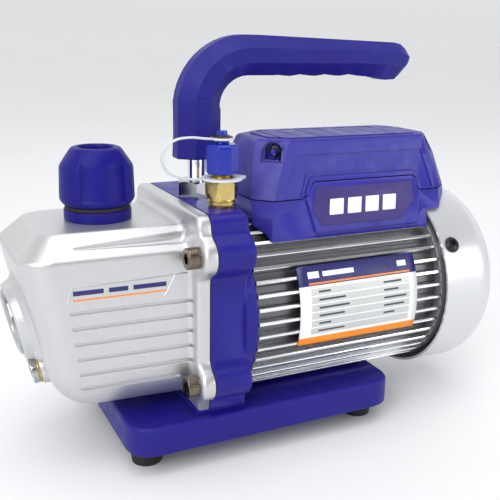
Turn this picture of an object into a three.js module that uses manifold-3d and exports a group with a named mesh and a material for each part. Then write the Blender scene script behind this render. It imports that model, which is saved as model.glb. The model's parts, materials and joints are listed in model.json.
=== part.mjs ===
// Refrigerant vacuum pump: oil reservoir, pump bracket, finned motor, fan cover and terminal box on a tray.
// Millimetres, +Z up. X runs along the shaft: reservoir at -X, fan cover at +X. The near side is -Y.
// Dimensions along X are written from the joint face of reservoir and bracket, then shifted by X_MIDDLE.
import * as THREE from "three";
import { mergeVertices } from "three/addons/utils/BufferGeometryUtils.js";
import Module from "manifold-3d";

const wasm = await Module();
wasm.setup();

// ---- driving dimensions ----
const X_MIDDLE = 46.04; // half way between the sight glass and the fan cover's end
const SHAFT_Z = 70;
const SHAFT_R = 6;

const FOOT_HEIGHT = 11.5;
const BASE = { x0: -42, x1: 110, halfWidth: 51.3, z0: FOOT_HEIGHT, z1: 26.5, corner: 15, wall: 3 };
const PAD_Z = 28.4;
const FEET = { x: [-29, 98], y: 32, top: 9, bottom: 7.6 };

const BRACKET = { depth: 20, top: 128.2, waist: 46.6, registerX: 25, registerR: 49.8 };
const UPPER_LUG = { y: 47.5, z: 108.8, r: 9.2 };
const LOWER_LUG = { y: 46, z: 43, r: 8.6 };
const FLANGE = { x0: -7.1, x1: -0.6 };
const SCREW = { shank: 3, head: 5.4, headLength: 6, reach: 12, hole: 3.2 };

const FRONT_LEAN = THREE.MathUtils.degToRad(12.4);
const GLASS = { x: -79.6, z: 73.5, boss: 19.5, bore: 14.5, stand: 6.5 };
const DRAIN = { x: -71.2, z: 46, boss: 8, bore: 5, stand: 3.6 };

const FILLER = { x: -41.7, z: 121, ringR: 16.6, ringTop: 126.3, bore: 11, tube: 12.2 };
const OIL_CAP = { z0: 128.3, recessHalf: 41.5, stem: 10.8, outlet: 8.5, passage: 5.5 };

const INLET = { x: 12.5, y: -29.5, thread: 5.2, collar: 6.7, hexFlats: 14.6, flareR: 5.5, bore: 2.2 };
const HANDLE = { x: 10.8, studR: 4.6, nutFlats: 18, nutTop: 136.8, bottom: 148.5, height: 200.4 };

const MOTOR = { x0: 25, x1: 139, bore: 40.2, core: 44.5, fin: 50, fins: 44, flatZ: PAD_Z };
const COWL = { x0: 140, x1: 183, r: 54.4, wall: 1.3, screwX: 146.5, screwAngles: [32, 148, 270] };
const STATOR = { x0: 50, x1: 110, r: 40.1, bore: 22.2 };

const BOX = { top: 158.3, topHalf: 22.3, part: 127.9, partRaised: 136.5, bottom: 100, wall: 2.6 };
const SADDLE = { motor: 50.4, cowl: 56.6, step: 138.4 };
const BOX_LEAN = Math.atan(0.2211); // how far its sides lean in

const PUMP = { x0: -30, bore: 20, offset: 2.9, rotor: 17, outer: 27, flatZ: 93, vane: 3 };

// ---- colours ----
const BLUE = 0x3a329a;
const BLACK = 0x17171a;
const SILVER = 0xc9cbcd;
const STEEL = 0x9b9ea3;
const BRASS = 0xc4a95c;
const WHITE = 0xf0f1f2;

const root = new THREE.Group();
root.name = "vacuum_pump";

// ---- solids ----
function solid(geometry) {
  const plain = new THREE.BufferGeometry();
  const source = geometry.index ? geometry.toNonIndexed() : geometry;
  plain.setAttribute("position", source.getAttribute("position").clone());
  const merged = mergeVertices(plain, 1e-4);
  const index = merged.index.array;
  const kept = [];
  for (let i = 0; i < index.length; i += 3) {
    const [a, b, c] = [index[i], index[i + 1], index[i + 2]];
    if (a !== b && b !== c && c !== a) kept.push(a, b, c);
  }
  return new wasm.Manifold(
    new wasm.Mesh({
      numProp: 3,
      vertProperties: new Float32Array(merged.getAttribute("position").array),
      triVerts: new Uint32Array(kept),
    }),
  );
}

function geometryOf(body) {
  const mesh = body.getMesh();
  const geometry = new THREE.BufferGeometry();
  geometry.setAttribute("position", new THREE.BufferAttribute(new Float32Array(mesh.vertProperties), 3));
  geometry.setIndex(new THREE.BufferAttribute(new Uint32Array(mesh.triVerts), 1));
  const flat = geometry.toNonIndexed();
  flat.computeVertexNormals();
  return flat;
}

const join = (...bodies) => bodies.flat().reduce((a, b) => a.add(b));
const cut = (body, ...tools) => tools.flat().reduce((a, b) => a.subtract(b), body);

function add(name, body, color, roughness, metalness) {
  const geometry = geometryOf(body).translate(-X_MIDDLE, 0, 0);
  const material = new THREE.MeshStandardMaterial({ color, roughness, metalness });
  const mesh = new THREE.Mesh(geometry, material);
  mesh.name = name;
  root.add(mesh);
}

// A matrix whose columns are the world directions of a local x, y, z and its origin.
function frame(x, y, z, origin = [0, 0, 0]) {
  const matrix = new THREE.Matrix4().makeBasis(
    new THREE.Vector3(...x),
    new THREE.Vector3(...y),
    new THREE.Vector3(...z),
  );
  return matrix.setPosition(...origin);
}

function extrude(points, length, holes = []) {
  const shape = new THREE.Shape(points.map(([u, v]) => new THREE.Vector2(u, v)));
  for (const hole of holes) {
    shape.holes.push(new THREE.Path(hole.map(([u, v]) => new THREE.Vector2(u, v))));
  }
  return new THREE.ExtrudeGeometry(shape, { depth: length, bevelEnabled: false });
}

// Outlines: [y, z] along X, [x, z] along Y, [x, y] along Z.
const alongX = (points, x0, x1, holes) =>
  solid(extrude(points, x1 - x0, holes).applyMatrix4(frame([0, 1, 0], [0, 0, 1], [1, 0, 0], [x0, 0, 0])));
const alongY = (points, y0, y1, holes) =>
  solid(extrude(points, y1 - y0, holes).applyMatrix4(frame([1, 0, 0], [0, 0, 1], [0, -1, 0], [0, y1, 0])));
const alongZ = (points, z0, z1, holes) => solid(extrude(points, z1 - z0, holes).translate(0, 0, z0));

function box(x0, x1, y0, y1, z0, z1) {
  const geometry = new THREE.BoxGeometry(x1 - x0, y1 - y0, z1 - z0);
  return solid(geometry.translate((x0 + x1) / 2, (y0 + y1) / 2, (z0 + z1) / 2));
}

// Turns a closed [distance along, radius] profile about an axis from origin towards direction.
function turn(profile, segments, origin, direction, twist = 0) {
  const points = profile.map(([along, radius]) => new THREE.Vector2(radius, along));
  const onAxis = points[0].x === 0 && points[points.length - 1].x === 0;
  if (!onAxis) points.push(points[0].clone());
  const geometry = new THREE.LatheGeometry(points, segments).rotateY(twist);
  const axis = new THREE.Vector3(...direction).normalize();
  const spin = new THREE.Quaternion().setFromUnitVectors(new THREE.Vector3(0, 1, 0), axis);
  geometry.applyQuaternion(spin).translate(...origin);
  const body = solid(geometry);
  if (body.volume() > 0) return body;
  const flipped = geometry.toNonIndexed();
  const position = flipped.getAttribute("position");
  for (let i = 0; i < position.count; i += 3) {
    const a = new THREE.Vector3().fromBufferAttribute(position, i);
    const b = new THREE.Vector3().fromBufferAttribute(position, i + 1);
    position.setXYZ(i, b.x, b.y, b.z);
    position.setXYZ(i + 1, a.x, a.y, a.z);
  }
  return solid(flipped);
}

const rod = (radius, from, to, origin, direction, segments, twist = 0) =>
  turn([[from, 0], [from, radius], [to, radius], [to, 0]], segments, origin, direction, twist);
const ring = (inner, outer, from, to, origin, direction, segments) =>
  turn([[from, inner], [from, outer], [to, outer], [to, inner]], segments, origin, direction);
const hex = (flats, from, to, origin, direction, twist = 0) =>
  rod(flats / Math.sqrt(3), from, to, origin, direction, 6, twist);

// Skin between outlines of equal point count, closed by a fan at both ends.
function loft(levels) {
  const count = levels[0].length;
  const vertices = levels.flat().flat();
  const index = [];
  for (let k = 0; k + 1 < levels.length; k += 1) {
    for (let i = 0; i < count; i += 1) {
      const j = (i + 1) % count;
      const [a, b] = [k * count + i, k * count + j];
      index.push(a, b, b + count, a, b + count, a + count);
    }
  }
  const last = (levels.length - 1) * count;
  for (let i = 1; i + 1 < count; i += 1) {
    index.push(0, i + 1, i);
    index.push(last, last + i, last + i + 1);
  }
  const geometry = new THREE.BufferGeometry();
  geometry.setAttribute("position", new THREE.Float32BufferAttribute(vertices, 3));
  geometry.setIndex(index);
  return solid(geometry);
}

// Points on an arc, angles in degrees.
function arc(u, v, radius, from, to, steps) {
  return Array.from({ length: steps + 1 }, (_, i) => {
    const angle = THREE.MathUtils.degToRad(from + ((to - from) * i) / steps);
    return [u + radius * Math.cos(angle), v + radius * Math.sin(angle)];
  });
}

const circle = (u, v, radius, steps) => arc(u, v, radius, 0, 360, steps).slice(0, -1);

function roundedRectangle(x0, x1, y0, y1, radius, steps = 4) {
  return [
    ...arc(x1 - radius, y1 - radius, radius, 0, 90, steps),
    ...arc(x0 + radius, y1 - radius, radius, 90, 180, steps),
    ...arc(x0 + radius, y0 + radius, radius, 180, 270, steps),
    ...arc(x1 - radius, y0 + radius, radius, 270, 360, steps),
  ];
}

const SHAFT = [0, 0, SHAFT_Z];
const ALONG_X = [1, 0, 0];
const UP = [0, 0, 1];

// ---- base tray and feet ----
const baseLevel = (z, inset) =>
  roundedRectangle(
    BASE.x0 + inset,
    BASE.x1 - inset,
    -BASE.halfWidth + inset,
    BASE.halfWidth - inset,
    BASE.corner - inset,
  ).map(([x, y]) => [x, y, z]);

const tray = loft([
  baseLevel(BASE.z0, 0),
  baseLevel(BASE.z1 - 1.6, 0),
  baseLevel(BASE.z1, 1.4),
]);
const trayHollow = loft([
  baseLevel(BASE.z0 - 1, BASE.wall),
  baseLevel(BASE.z1 - BASE.wall, BASE.wall + 1),
]);
const footSpots = FEET.x.flatMap((x) => [[x, -FEET.y], [x, FEET.y]]);
const footBosses = footSpots.map(([x, y]) => rod(8, BASE.z0, BASE.z1 - 2, [x, y, 0], UP, 16));
const stiffeners = [
  box(BASE.x0 + 2, BASE.x1 - 2, -1.2, 1.2, BASE.z0 + 4, BASE.z1 - 2),
  box(33, 35.4, -BASE.halfWidth + 2, BASE.halfWidth - 2, BASE.z0 + 4, BASE.z1 - 2),
];
const pads = [
  alongZ(roundedRectangle(-7.4, 20.6, -45.6, 45.6, 2, 2), BASE.z1 - 1, PAD_Z),
  alongZ(roundedRectangle(34, 104, -24, 24, 4, 2), BASE.z1 - 1, PAD_Z),
];
add(
  "base_plate",
  cut(
    join(tray.subtract(trayHollow), ...footBosses, ...stiffeners, ...pads),
    footSpots.map(([x, y]) => rod(2.1, BASE.z0 - 1, BASE.z0 + 9, [x, y, 0], UP, 8)),
  ),
  BLUE,
  0.45,
  0.05,
);

const footNames = ["foot_reservoir_near", "foot_reservoir_far", "foot_motor_near", "foot_motor_far"];
footSpots.forEach(([x, y], i) => {
  const outline = [
    [0, 3.4],
    [0, FEET.bottom - 0.5],
    [0.5, FEET.bottom],
    [FOOT_HEIGHT, FEET.top],
    [FOOT_HEIGHT, 2.2],
    [6, 2.2],
  ];
  add(footNames[i], turn(outline, 20, [x, y, 0], UP), BLACK, 0.85, 0);
});

// ---- pump bracket, the outline it shares with the reservoir's flange ----
const halfOutline = [
  [45.7, PAD_Z],
  [46.7, 33.5],
  ...arc(LOWER_LUG.y, LOWER_LUG.z, LOWER_LUG.r, -80, 66, 6),
  [BRACKET.waist, 54.5],
  [BRACKET.waist, 96.5],
  ...arc(UPPER_LUG.y, UPPER_LUG.z, UPPER_LUG.r, -72, 64, 6),
  [48.4, 119.5],
  ...arc(41, BRACKET.top - 6.5, 6.5, 0, 90, 3),
];
const mirrored = halfOutline.map(([y, z]) => [-y, z]).reverse();
const bracketOutline = [...halfOutline, ...mirrored];
const lugSpots = [
  ["upper_near", -UPPER_LUG.y + 0.4, UPPER_LUG.z],
  ["upper_far", UPPER_LUG.y - 0.4, UPPER_LUG.z],
  ["lower_near", -LOWER_LUG.y, LOWER_LUG.z],
  ["lower_far", LOWER_LUG.y, LOWER_LUG.z],
];

const inletTop = [INLET.x, INLET.y, 97];
const inletPort = [-1, -14.7, 59.7];
const inletRun = new THREE.Vector3(...inletPort).sub(new THREE.Vector3(...inletTop));
add(
  "pump_bracket",
  cut(
    join(
      alongX(bracketOutline, 0, BRACKET.depth),
      rod(BRACKET.registerR, BRACKET.depth - 2, BRACKET.registerX, SHAFT, ALONG_X, 40),
      rod(MOTOR.bore - 0.15, BRACKET.registerX - 1, BRACKET.registerX + 4, SHAFT, ALONG_X, 32),
    ),
    box(-10, 40, -60, 60, 0, PAD_Z),
    rod(7.2, -1, 40, SHAFT, ALONG_X, 20),
    rod(10.5, -1, 9, SHAFT, ALONG_X, 20),
    rod(13, 17, 40, SHAFT, ALONG_X, 24),
    ring(17, 36, 14, 40, SHAFT, ALONG_X, 28),
    lugSpots.map(([, y, z]) => rod(SCREW.shank + 0.05, -1, SCREW.reach + 1, [0, y, z], ALONG_X, 12)),
    rod(INLET.thread + 0.05, 112, 140, [INLET.x, INLET.y, 0], UP, 20),
    rod(2.6, 95, 115, [INLET.x, INLET.y, 0], UP, 8),
    rod(2.4, 0, inletRun.length(), inletTop, inletRun.toArray(), 8),
    rod(HANDLE.studR + 0.05, 112.5, 140, [HANDLE.x, 0, 0], UP, 16),
  ),
  BLUE,
  0.42,
  0.15,
);

// ---- oil reservoir ----
// Half plan of the body at one height: a taper from the flange to a rounded far end.
function reservoirPlan(z, x0, halfEnd, halfFlange, radius, x1 = -1) {
  const near = arc(x0 + radius, -halfEnd + radius, radius, 180, 270, 4);
  const far = arc(x0 + radius, halfEnd - radius, radius, 90, 180, 4);
  return [...near, [x1, -halfFlange], [x1, halfFlange], ...far].map(([x, y]) => [x, y, z]);
}
// [height, end face, half width at the end, half width at the flange, corner radius]
const bodyLevels = [
  [34, -58, 27, 31, 8],
  [36, -63, 31, 34.5, 10],
  [40, -67.5, 35, 39.2, 12],
  [47, -71.5, 36.6, 40.6, 12.5],
  [56, -75.3, 37, 40.7, 12.5],
  [110, -87.2, 37, 39.4, 13],
  [121, -76.4, 26, 28.6, 4],
];
const reservoirSkin = loft(bodyLevels.map((level) => reservoirPlan(...level)));
const reservoirHollow = loft(
  [
    [37.2, -60, 27, 30, 6],
    [41, -64, 31, 35.2, 8],
    [48, -68, 33.4, 37.2, 9],
    [56, -71.8, 33.7, 37.3, 9],
    [109, -83.6, 33.7, 36, 9],
    [117.8, -75, 25, 27.4, 3],
  ].map((level) => reservoirPlan(...level, 1)),
);
// Shallow grooves along both flanks; the lowest stops short of the corner screw.
const GROOVE = { heights: [46.5, 54.5, 62.2, 70, 77.8, 85.5], half: 0.9, depth: 0.9 };
const flankHalf = (x, z) => {
  const flange = 40.7 - (1.3 * Math.max(0, z - 56)) / 54;
  return flange + ((37 - flange) * (-x - 1)) / 72;
};
const sideGrooves = GROOVE.heights.flatMap((z, i) =>
  [-1, 1].map((side) => {
    const end = -60.4 - 0.9 * i;
    const start = i === 0 ? -14.5 : -6;
    const floor = (x) => flankHalf(x, z) - GROOVE.depth;
    const outline = [[end, floor(end)], [start, floor(start)], [start, 44], [end, 44]];
    const placed = outline.map(([x, y]) => [x, y * side]);
    return alongZ(side > 0 ? placed : placed.reverse(), z - GROOVE.half, z + GROOVE.half);
  }),
);
const frontOut = [-Math.cos(FRONT_LEAN), 0, -Math.sin(FRONT_LEAN)];
const glassSpot = [GLASS.x, 0, GLASS.z];
const drainSpot = [DRAIN.x, 0, DRAIN.z];
add(
  "oil_reservoir",
  cut(
    join(
      cut(reservoirSkin, ...sideGrooves),
      alongX(bracketOutline, FLANGE.x0, FLANGE.x1),
      rod(GLASS.boss, -2, GLASS.stand, glassSpot, frontOut, 28),
      rod(DRAIN.boss, -2, DRAIN.stand, drainSpot, frontOut, 20),
    ),
    reservoirHollow,
    rod(GLASS.bore, -8, 20, glassSpot, frontOut, 28),
    rod(GLASS.boss - 2.5, GLASS.stand - 3.4, 20, glassSpot, frontOut, 28),
    rod(DRAIN.bore, -8, 20, drainSpot, frontOut, 16),
    rod(FILLER.tube + 0.1, 110, 130, [FILLER.x, 0, 0], UP, 24),
    lugSpots.map(([, y, z]) => rod(SCREW.hole, FLANGE.x0 - 1, 1, [0, y, z], ALONG_X, 12)),
    box(FLANGE.x1, 2, -60, 60, 20, 140),
  ),
  SILVER,
  0.5,
  0.85,
);

const opening = [
  [-30, 37.2],
  [30, 37.2],
  [37.4, 48],
  [37.4, 100],
  [35.4, 109],
  [27.4, 117.8],
  [-27.4, 117.8],
  [-35.4, 109],
  [-37.4, 100],
  [-37.4, 48],
];
add(
  "reservoir_gasket",
  alongX(bracketOutline, FLANGE.x1, 0, [
    opening,
    ...lugSpots.map(([, y, z]) => circle(y, z, SCREW.hole, 12)),
  ]),
  BLACK,
  0.8,
  0,
);

for (const [name, y, z] of lugSpots) {
  const seat = [FLANGE.x0, y, z];
  const head = turn(
    [
      [-SCREW.headLength, 0],
      [-SCREW.headLength, SCREW.head - 0.4],
      [-SCREW.headLength + 0.4, SCREW.head],
      [0, SCREW.head],
      [0, SCREW.shank],
      [SCREW.reach - FLANGE.x0, SCREW.shank],
      [SCREW.reach - FLANGE.x0, 0],
    ],
    12,
    seat,
    ALONG_X,
  );
  add(
    `reservoir_screw_${name}`,
    cut(head, hex(5, -SCREW.headLength - 1, -SCREW.headLength + 3, seat, ALONG_X)),
    STEEL,
    0.3,
    0.95,
  );
}

add(
  "sight_glass",
  turn(
    [
      [-1.5, 0],
      [-1.5, GLASS.bore - 0.1],
      [GLASS.stand - 3.4, GLASS.bore - 0.1],
      [GLASS.stand - 3.4, GLASS.boss - 2.7],
      [GLASS.stand - 1.4, GLASS.boss - 2.7],
      [GLASS.stand - 1.4, 0],
    ],
    28,
    glassSpot,
    frontOut,
  ),
  0x22262b,
  0.1,
  0,
);
add(
  "sight_glass_ring",
  turn(
    [
      [GLASS.stand - 1.4, 13],
      [GLASS.stand - 1.4, GLASS.boss - 2.7],
      [GLASS.stand + 0.8, GLASS.boss - 2.9],
      [GLASS.stand + 1.6, 15.6],
      [GLASS.stand + 0.4, 13],
    ],
    28,
    glassSpot,
    frontOut,
  ),
  SILVER,
  0.3,
  0.9,
);

add(
  "drain_washer",
  ring(DRAIN.bore + 0.2, 7.2, DRAIN.stand, DRAIN.stand + 1, drainSpot, frontOut, 16),
  BRASS,
  0.35,
  0.9,
);
add(
  "drain_plug",
  cut(
    turn(
      [
        [-5, 0],
        [-5, DRAIN.bore - 0.15],
        [DRAIN.stand + 1, DRAIN.bore - 0.15],
        [DRAIN.stand + 1, 6.8],
        [DRAIN.stand + 4.2, 6.8],
        [DRAIN.stand + 4.2, 0],
      ],
      16,
      drainSpot,
      frontOut,
      0.1,
    ),
    hex(6, DRAIN.stand - 0.5, DRAIN.stand + 6, drainSpot, frontOut),
  ),
  BRASS,
  0.35,
  0.9,
);

// ---- filler neck and exhaust cap ----
const fillerSpot = [FILLER.x, 0, 0];
add(
  "filler_neck",
  turn(
    [
      [112, FILLER.bore],
      [112, FILLER.tube],
      [FILLER.z, FILLER.tube],
      [FILLER.z, FILLER.ringR],
      [FILLER.ringTop, FILLER.ringR],
      [FILLER.ringTop, FILLER.bore],
    ],
    24,
    fillerSpot,
    UP,
  ),
  BLUE,
  0.4,
  0.05,
);
add(
  "oil_cap_seal",
  ring(FILLER.bore + 0.2, 16, FILLER.ringTop, OIL_CAP.z0, fillerSpot, UP, 24),
  BLACK,
  0.8,
  0,
);

// One level of the cap: a round pad towards each end of the pump, a shallower recess on each side.
function capLevel(z, pad, recess) {
  const edge = 90 - OIL_CAP.recessHalf;
  const padArc = (middle) => arc(FILLER.x, 0, pad, middle - edge, middle + edge, 8);
  const recessArc = (middle) =>
    arc(FILLER.x, 0, recess, middle - OIL_CAP.recessHalf + 2, middle + OIL_CAP.recessHalf - 2, 7);
  const outline = [...padArc(0), ...recessArc(90), ...padArc(180), ...recessArc(270)];
  return outline.map(([x, y]) => [x, y, z]);
}
add(
  "oil_cap",
  cut(
    join(
      loft([
        capLevel(OIL_CAP.z0, 16.2, 16),
        capLevel(130.8, 18.1, 17),
        capLevel(131.8, 18.4, 16.5),
        capLevel(146.6, 18, 16),
        capLevel(149.2, 16.8, 15.7),
        capLevel(154.2, 13.4, 13.4),
        capLevel(156.4, 11.2, 11.2),
      ]),
      rod(OIL_CAP.stem, 112, OIL_CAP.z0 + 1, fillerSpot, UP, 24),
    ),
    rod(OIL_CAP.outlet, 148, 160, fillerSpot, UP, 24),
    rod(OIL_CAP.passage, 110, 150, fillerSpot, UP, 16),
  ),
  BLUE,
  0.38,
  0.05,
);

// ---- suction fitting, its cap and retaining strap ----
const inletSpot = [INLET.x, INLET.y, 0];
const FACE_TURN = THREE.MathUtils.degToRad(-7);
add(
  "inlet_fitting",
  cut(
    join(
      turn(
        [
          [112.5, 0],
          [112.5, INLET.thread],
          [BRACKET.top, INLET.thread],
          [BRACKET.top, INLET.collar - 0.3],
          [129.3, INLET.collar],
          [129.6, INLET.collar - 0.5],
          [130, INLET.collar],
          [132.6, INLET.collar],
          [133.4, INLET.collar - 0.2],
          [133.4, 0],
        ],
        20,
        inletSpot,
        UP,
      ),
      hex(INLET.hexFlats, 132.9, 141.8, inletSpot, UP, FACE_TURN),
      turn(
        [[141, 0], [141, 4.9], [143.6, INLET.flareR], [151.5, INLET.flareR], [154.2, 3.1], [154.2, 0]],
        16,
        inletSpot,
        UP,
      ),
    ),
    rod(INLET.bore, 110, 160, inletSpot, UP, 10),
  ),
  BRASS,
  0.32,
  0.95,
);

const COLLAR = { inner: 5.7, outer: 10.4, z0: 141.8, z1: 143 };
const tip = [
  ...arc(INLET.x, INLET.y, COLLAR.outer, 28, 332, 18),
  [INLET.x + 11.4, INLET.y - 2.2],
  [INLET.x + 13.2, INLET.y],
  [INLET.x + 11.4, INLET.y + 2.2],
];
add(
  "strap_collar",
  alongZ(tip, COLLAR.z0, COLLAR.z1, [circle(INLET.x, INLET.y, COLLAR.inner, 16)]),
  WHITE,
  0.55,
  0,
);

const CAP = { z0: 145, z1: 159.5, r: 8.5, knob: 2.9, neck: 1.9, eyeletZ: 161.2 };
const capPlan = (z, radius) =>
  arc(INLET.x, INLET.y, radius, 9, 369, 8)
    .slice(0, -1)
    .map(([x, y]) => [x, y, z]);
add(
  "inlet_cap",
  cut(
    join(
      loft([
        capPlan(CAP.z0, 7.6),
        capPlan(CAP.z0 + 1, CAP.r),
        capPlan(CAP.z1 - 2, CAP.r),
        capPlan(CAP.z1, 6.4),
      ]),
      turn(
        [
          [CAP.z1 - 1, 0],
          [CAP.z1 - 1, 3.8],
          [CAP.eyeletZ - 0.2, 3.4],
          [CAP.eyeletZ - 0.2, CAP.neck],
          [CAP.eyeletZ + 1.4, CAP.neck],
          [CAP.eyeletZ + 1.4, CAP.knob],
          [165.2, CAP.knob - 0.3],
          [165.8, CAP.knob - 1],
          [165.8, 0],
        ],
        14,
        inletSpot,
        UP,
      ),
    ),
    rod(INLET.flareR + 0.2, 140, 155.6, inletSpot, UP, 16),
  ),
  0x2a50c4,
  0.25,
  0,
);
add(
  "strap_eyelet",
  ring(CAP.neck + 0.2, 5.6, CAP.eyeletZ, CAP.eyeletZ + 1.2, inletSpot, UP, 14),
  WHITE,
  0.55,
  0,
);

const strapPath = new THREE.CatmullRomCurve3(
  [
    [INLET.x - 5.7, 161.8],
    [3, 162.2],
    [-3.2, 162.9],
    [-9.6, 162.5],
    [-13.8, 160.8],
    [-17.2, 157.6],
    [-18.3, 153.6],
    [-17.2, 149.6],
    [-14.4, 146.3],
    [-10, 144.2],
    [-4.5, 143],
    [INLET.x - COLLAR.outer - 0.1, 142.4],
  ].map(([x, z]) => new THREE.Vector3(x, INLET.y, z)),
);
const strapSection = new THREE.Shape(circle(0, 0, 0.85, 6).map(([u, v]) => new THREE.Vector2(u, v)));
add(
  "cap_strap",
  solid(new THREE.ExtrudeGeometry(strapSection, { steps: 26, extrudePath: strapPath })),
  WHITE,
  0.55,
  0,
);

// ---- carrying handle ----
const BEND = { x: HANDLE.x + 27, z: HANDLE.height - 27, r: 27 };
// Cross-section levels along the handle: centre, direction of the outer side, half height, half depth.
function octagon(centre, out, halfHeight, halfDepth, bevel = 0.34) {
  const [h, d] = [halfHeight, halfDepth];
  const [hb, db] = [h * bevel, d * bevel];
  const corners = [[hb, -d], [-hb, -d], [-h, -db], [-h, db], [-hb, d], [hb, d], [h, db], [h, -db]];
  return corners.map(([a, b]) => [centre[0] + out[0] * a, b, centre[2] + out[1] * a]);
}
function handleLevels() {
  const levels = [octagon([HANDLE.x, 0, HANDLE.bottom], [-1, 0], 10.4, 8.6)];
  levels.push(octagon([HANDLE.x + 0.2, 0, HANDLE.bottom + 2], [-1, 0], 12, 10));
  levels.push(octagon([HANDLE.x + 0.8, 0, BEND.z], [-1, 0], 11.6, 10));
  for (let i = 1; i <= 7; i += 1) {
    const angle = Math.PI - (i / 7) * (Math.PI / 2);
    const out = [Math.cos(angle), Math.sin(angle)];
    const centre = [BEND.x + BEND.r * out[0], 0, BEND.z + BEND.r * out[1]];
    levels.push(octagon(centre, out, 11.4 - i * 0.2, 10));
  }
  const grips = [
    [52, 200.6, 9.9],
    [66, 200.4, 9.7],
    [78, 200, 10],
    [85, 200, 9.6],
    [92, 199.8, 10],
    [100, 199.8, 9.6],
    [108, 199.4, 10],
    [114, 199.3, 9.7],
    [120, 198, 10.8],
    [126, 197.3, 10.8],
  ];
  for (const [x, z, half] of grips) levels.push(octagon([x, 0, z], [0.02, 1], half, 10));
  levels.push(octagon([131.5, 0, 197.6], [0.15, 0.98], 9.7, 9.6));
  levels.push(octagon([136, 0, 198], [0.3, 0.95], 7, 8.4));
  levels.push(octagon([139, 0, 198.6], [0.4, 0.9], 3.6, 5.5));
  return levels;
}
const grip = loft(handleLevels());
add(
  "handle_grip",
  cut(grip, rod(HANDLE.studR + 0.05, 140, 166, [HANDLE.x, 0, 0], UP, 16)),
  BLUE,
  0.5,
  0.02,
);
add("handle_stud", rod(HANDLE.studR, 113, 165.5, [HANDLE.x, 0, 0], UP, 16), STEEL, 0.2, 1);
add(
  "handle_nut",
  cut(
    hex(HANDLE.nutFlats, BRACKET.top, HANDLE.nutTop, [HANDLE.x, 0, 0], UP, THREE.MathUtils.degToRad(10)),
    rod(HANDLE.studR + 0.05, 120, 140, [HANDLE.x, 0, 0], UP, 16),
  ),
  STEEL,
  0.2,
  1,
);

// ---- motor ----
function finnedOutline() {
  const pitch = 360 / MOTOR.fins;
  const corners = [[-1.75, MOTOR.core], [-1.05, MOTOR.fin], [1.05, MOTOR.fin], [1.75, MOTOR.core]];
  const points = [];
  for (let i = 0; i < MOTOR.fins; i += 1) {
    const middle = i * pitch - 0.8;
    for (const [offset, radius] of corners) {
      const angle = THREE.MathUtils.degToRad(middle + offset);
      points.push([radius * Math.cos(angle), SHAFT_Z + radius * Math.sin(angle)]);
    }
  }
  return points;
}
add(
  "motor_housing",
  cut(
    alongX(finnedOutline(), MOTOR.x0, MOTOR.x1, [circle(0, SHAFT_Z, MOTOR.bore, 48)]),
    box(MOTOR.x0 - 1, MOTOR.x1 + 1, -60, 60, 0, MOTOR.flatZ),
  ),
  0xd6d7d8,
  0.28,
  0.95,
);

add("stator_core", ring(STATOR.bore, STATOR.r, STATOR.x0, STATOR.x1, SHAFT, ALONG_X, 32), STEEL, 0.6, 0.8);
const winding = (x0, x1) =>
  turn(
    [
      [x0, 26],
      [x0, 35],
      [(x0 + x1) / 2, 37.5],
      [x1, 35],
      [x1, 26],
    ],
    24,
    SHAFT,
    ALONG_X,
  );
add("winding_front", winding(38, STATOR.x0), 0xa5552a, 0.5, 0.6);
add("winding_rear", winding(STATOR.x1, 122), 0xa5552a, 0.5, 0.6);

add(
  "motor_shaft",
  turn(
    [
      [-28, 0],
      [-28, SHAFT_R],
      [130, SHAFT_R],
      [130, SHAFT_R - 0.5],
      [168, SHAFT_R - 0.5],
      [168, 0],
    ],
    20,
    SHAFT,
    ALONG_X,
  ),
  STEEL,
  0.3,
  0.95,
);
add("rotor_core", ring(SHAFT_R + 0.03, 21.6, STATOR.x0, STATOR.x1, SHAFT, ALONG_X, 20), STEEL, 0.55, 0.85);
add("bearing_front", ring(SHAFT_R + 0.2, 12.9, 17, 25, SHAFT, ALONG_X, 24), STEEL, 0.3, 0.95);
add("bearing_rear", ring(SHAFT_R - 0.3, 12.9, 134, 142, SHAFT, ALONG_X, 24), STEEL, 0.3, 0.95);
add("shaft_seal", ring(SHAFT_R + 0.2, 10.4, 1, 8, SHAFT, ALONG_X, 20), BLACK, 0.8, 0);

const shieldLugs = COWL.screwAngles.map((degrees) => {
  const angle = THREE.MathUtils.degToRad(degrees);
  const out = [0, -Math.cos(angle), Math.sin(angle)];
  return rod(6.4, 40, COWL.r, [COWL.screwX, 0, SHAFT_Z], out, 12);
});
add(
  "rear_end_shield",
  cut(
    join(
      rod(49.6, MOTOR.x1, 144, SHAFT, ALONG_X, 32),
      rod(MOTOR.bore - 0.15, 134, 140, SHAFT, ALONG_X, 32),
      join(...shieldLugs).intersect(rod(COWL.r - COWL.wall - 0.5, 130, 160, SHAFT, ALONG_X, 40)),
    ),
    ring(17, 36, 130, 141, SHAFT, ALONG_X, 24),
    rod(13, 130, 142, SHAFT, ALONG_X, 24),
    rod(8, 130, 160, SHAFT, ALONG_X, 20),
    [45, 135, 225, 315].map((degrees) => {
      const angle = THREE.MathUtils.degToRad(degrees);
      return rod(6.5, 130, 160, [0, 27 * Math.cos(angle), SHAFT_Z + 27 * Math.sin(angle)], ALONG_X, 8);
    }),
    COWL.screwAngles.map((degrees) => {
      const angle = THREE.MathUtils.degToRad(degrees);
      return rod(2.2, 44, 60, [COWL.screwX, 0, SHAFT_Z], [0, -Math.cos(angle), Math.sin(angle)], 10);
    }),
  ),
  0x8f9296,
  0.55,
  0.8,
);

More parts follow.
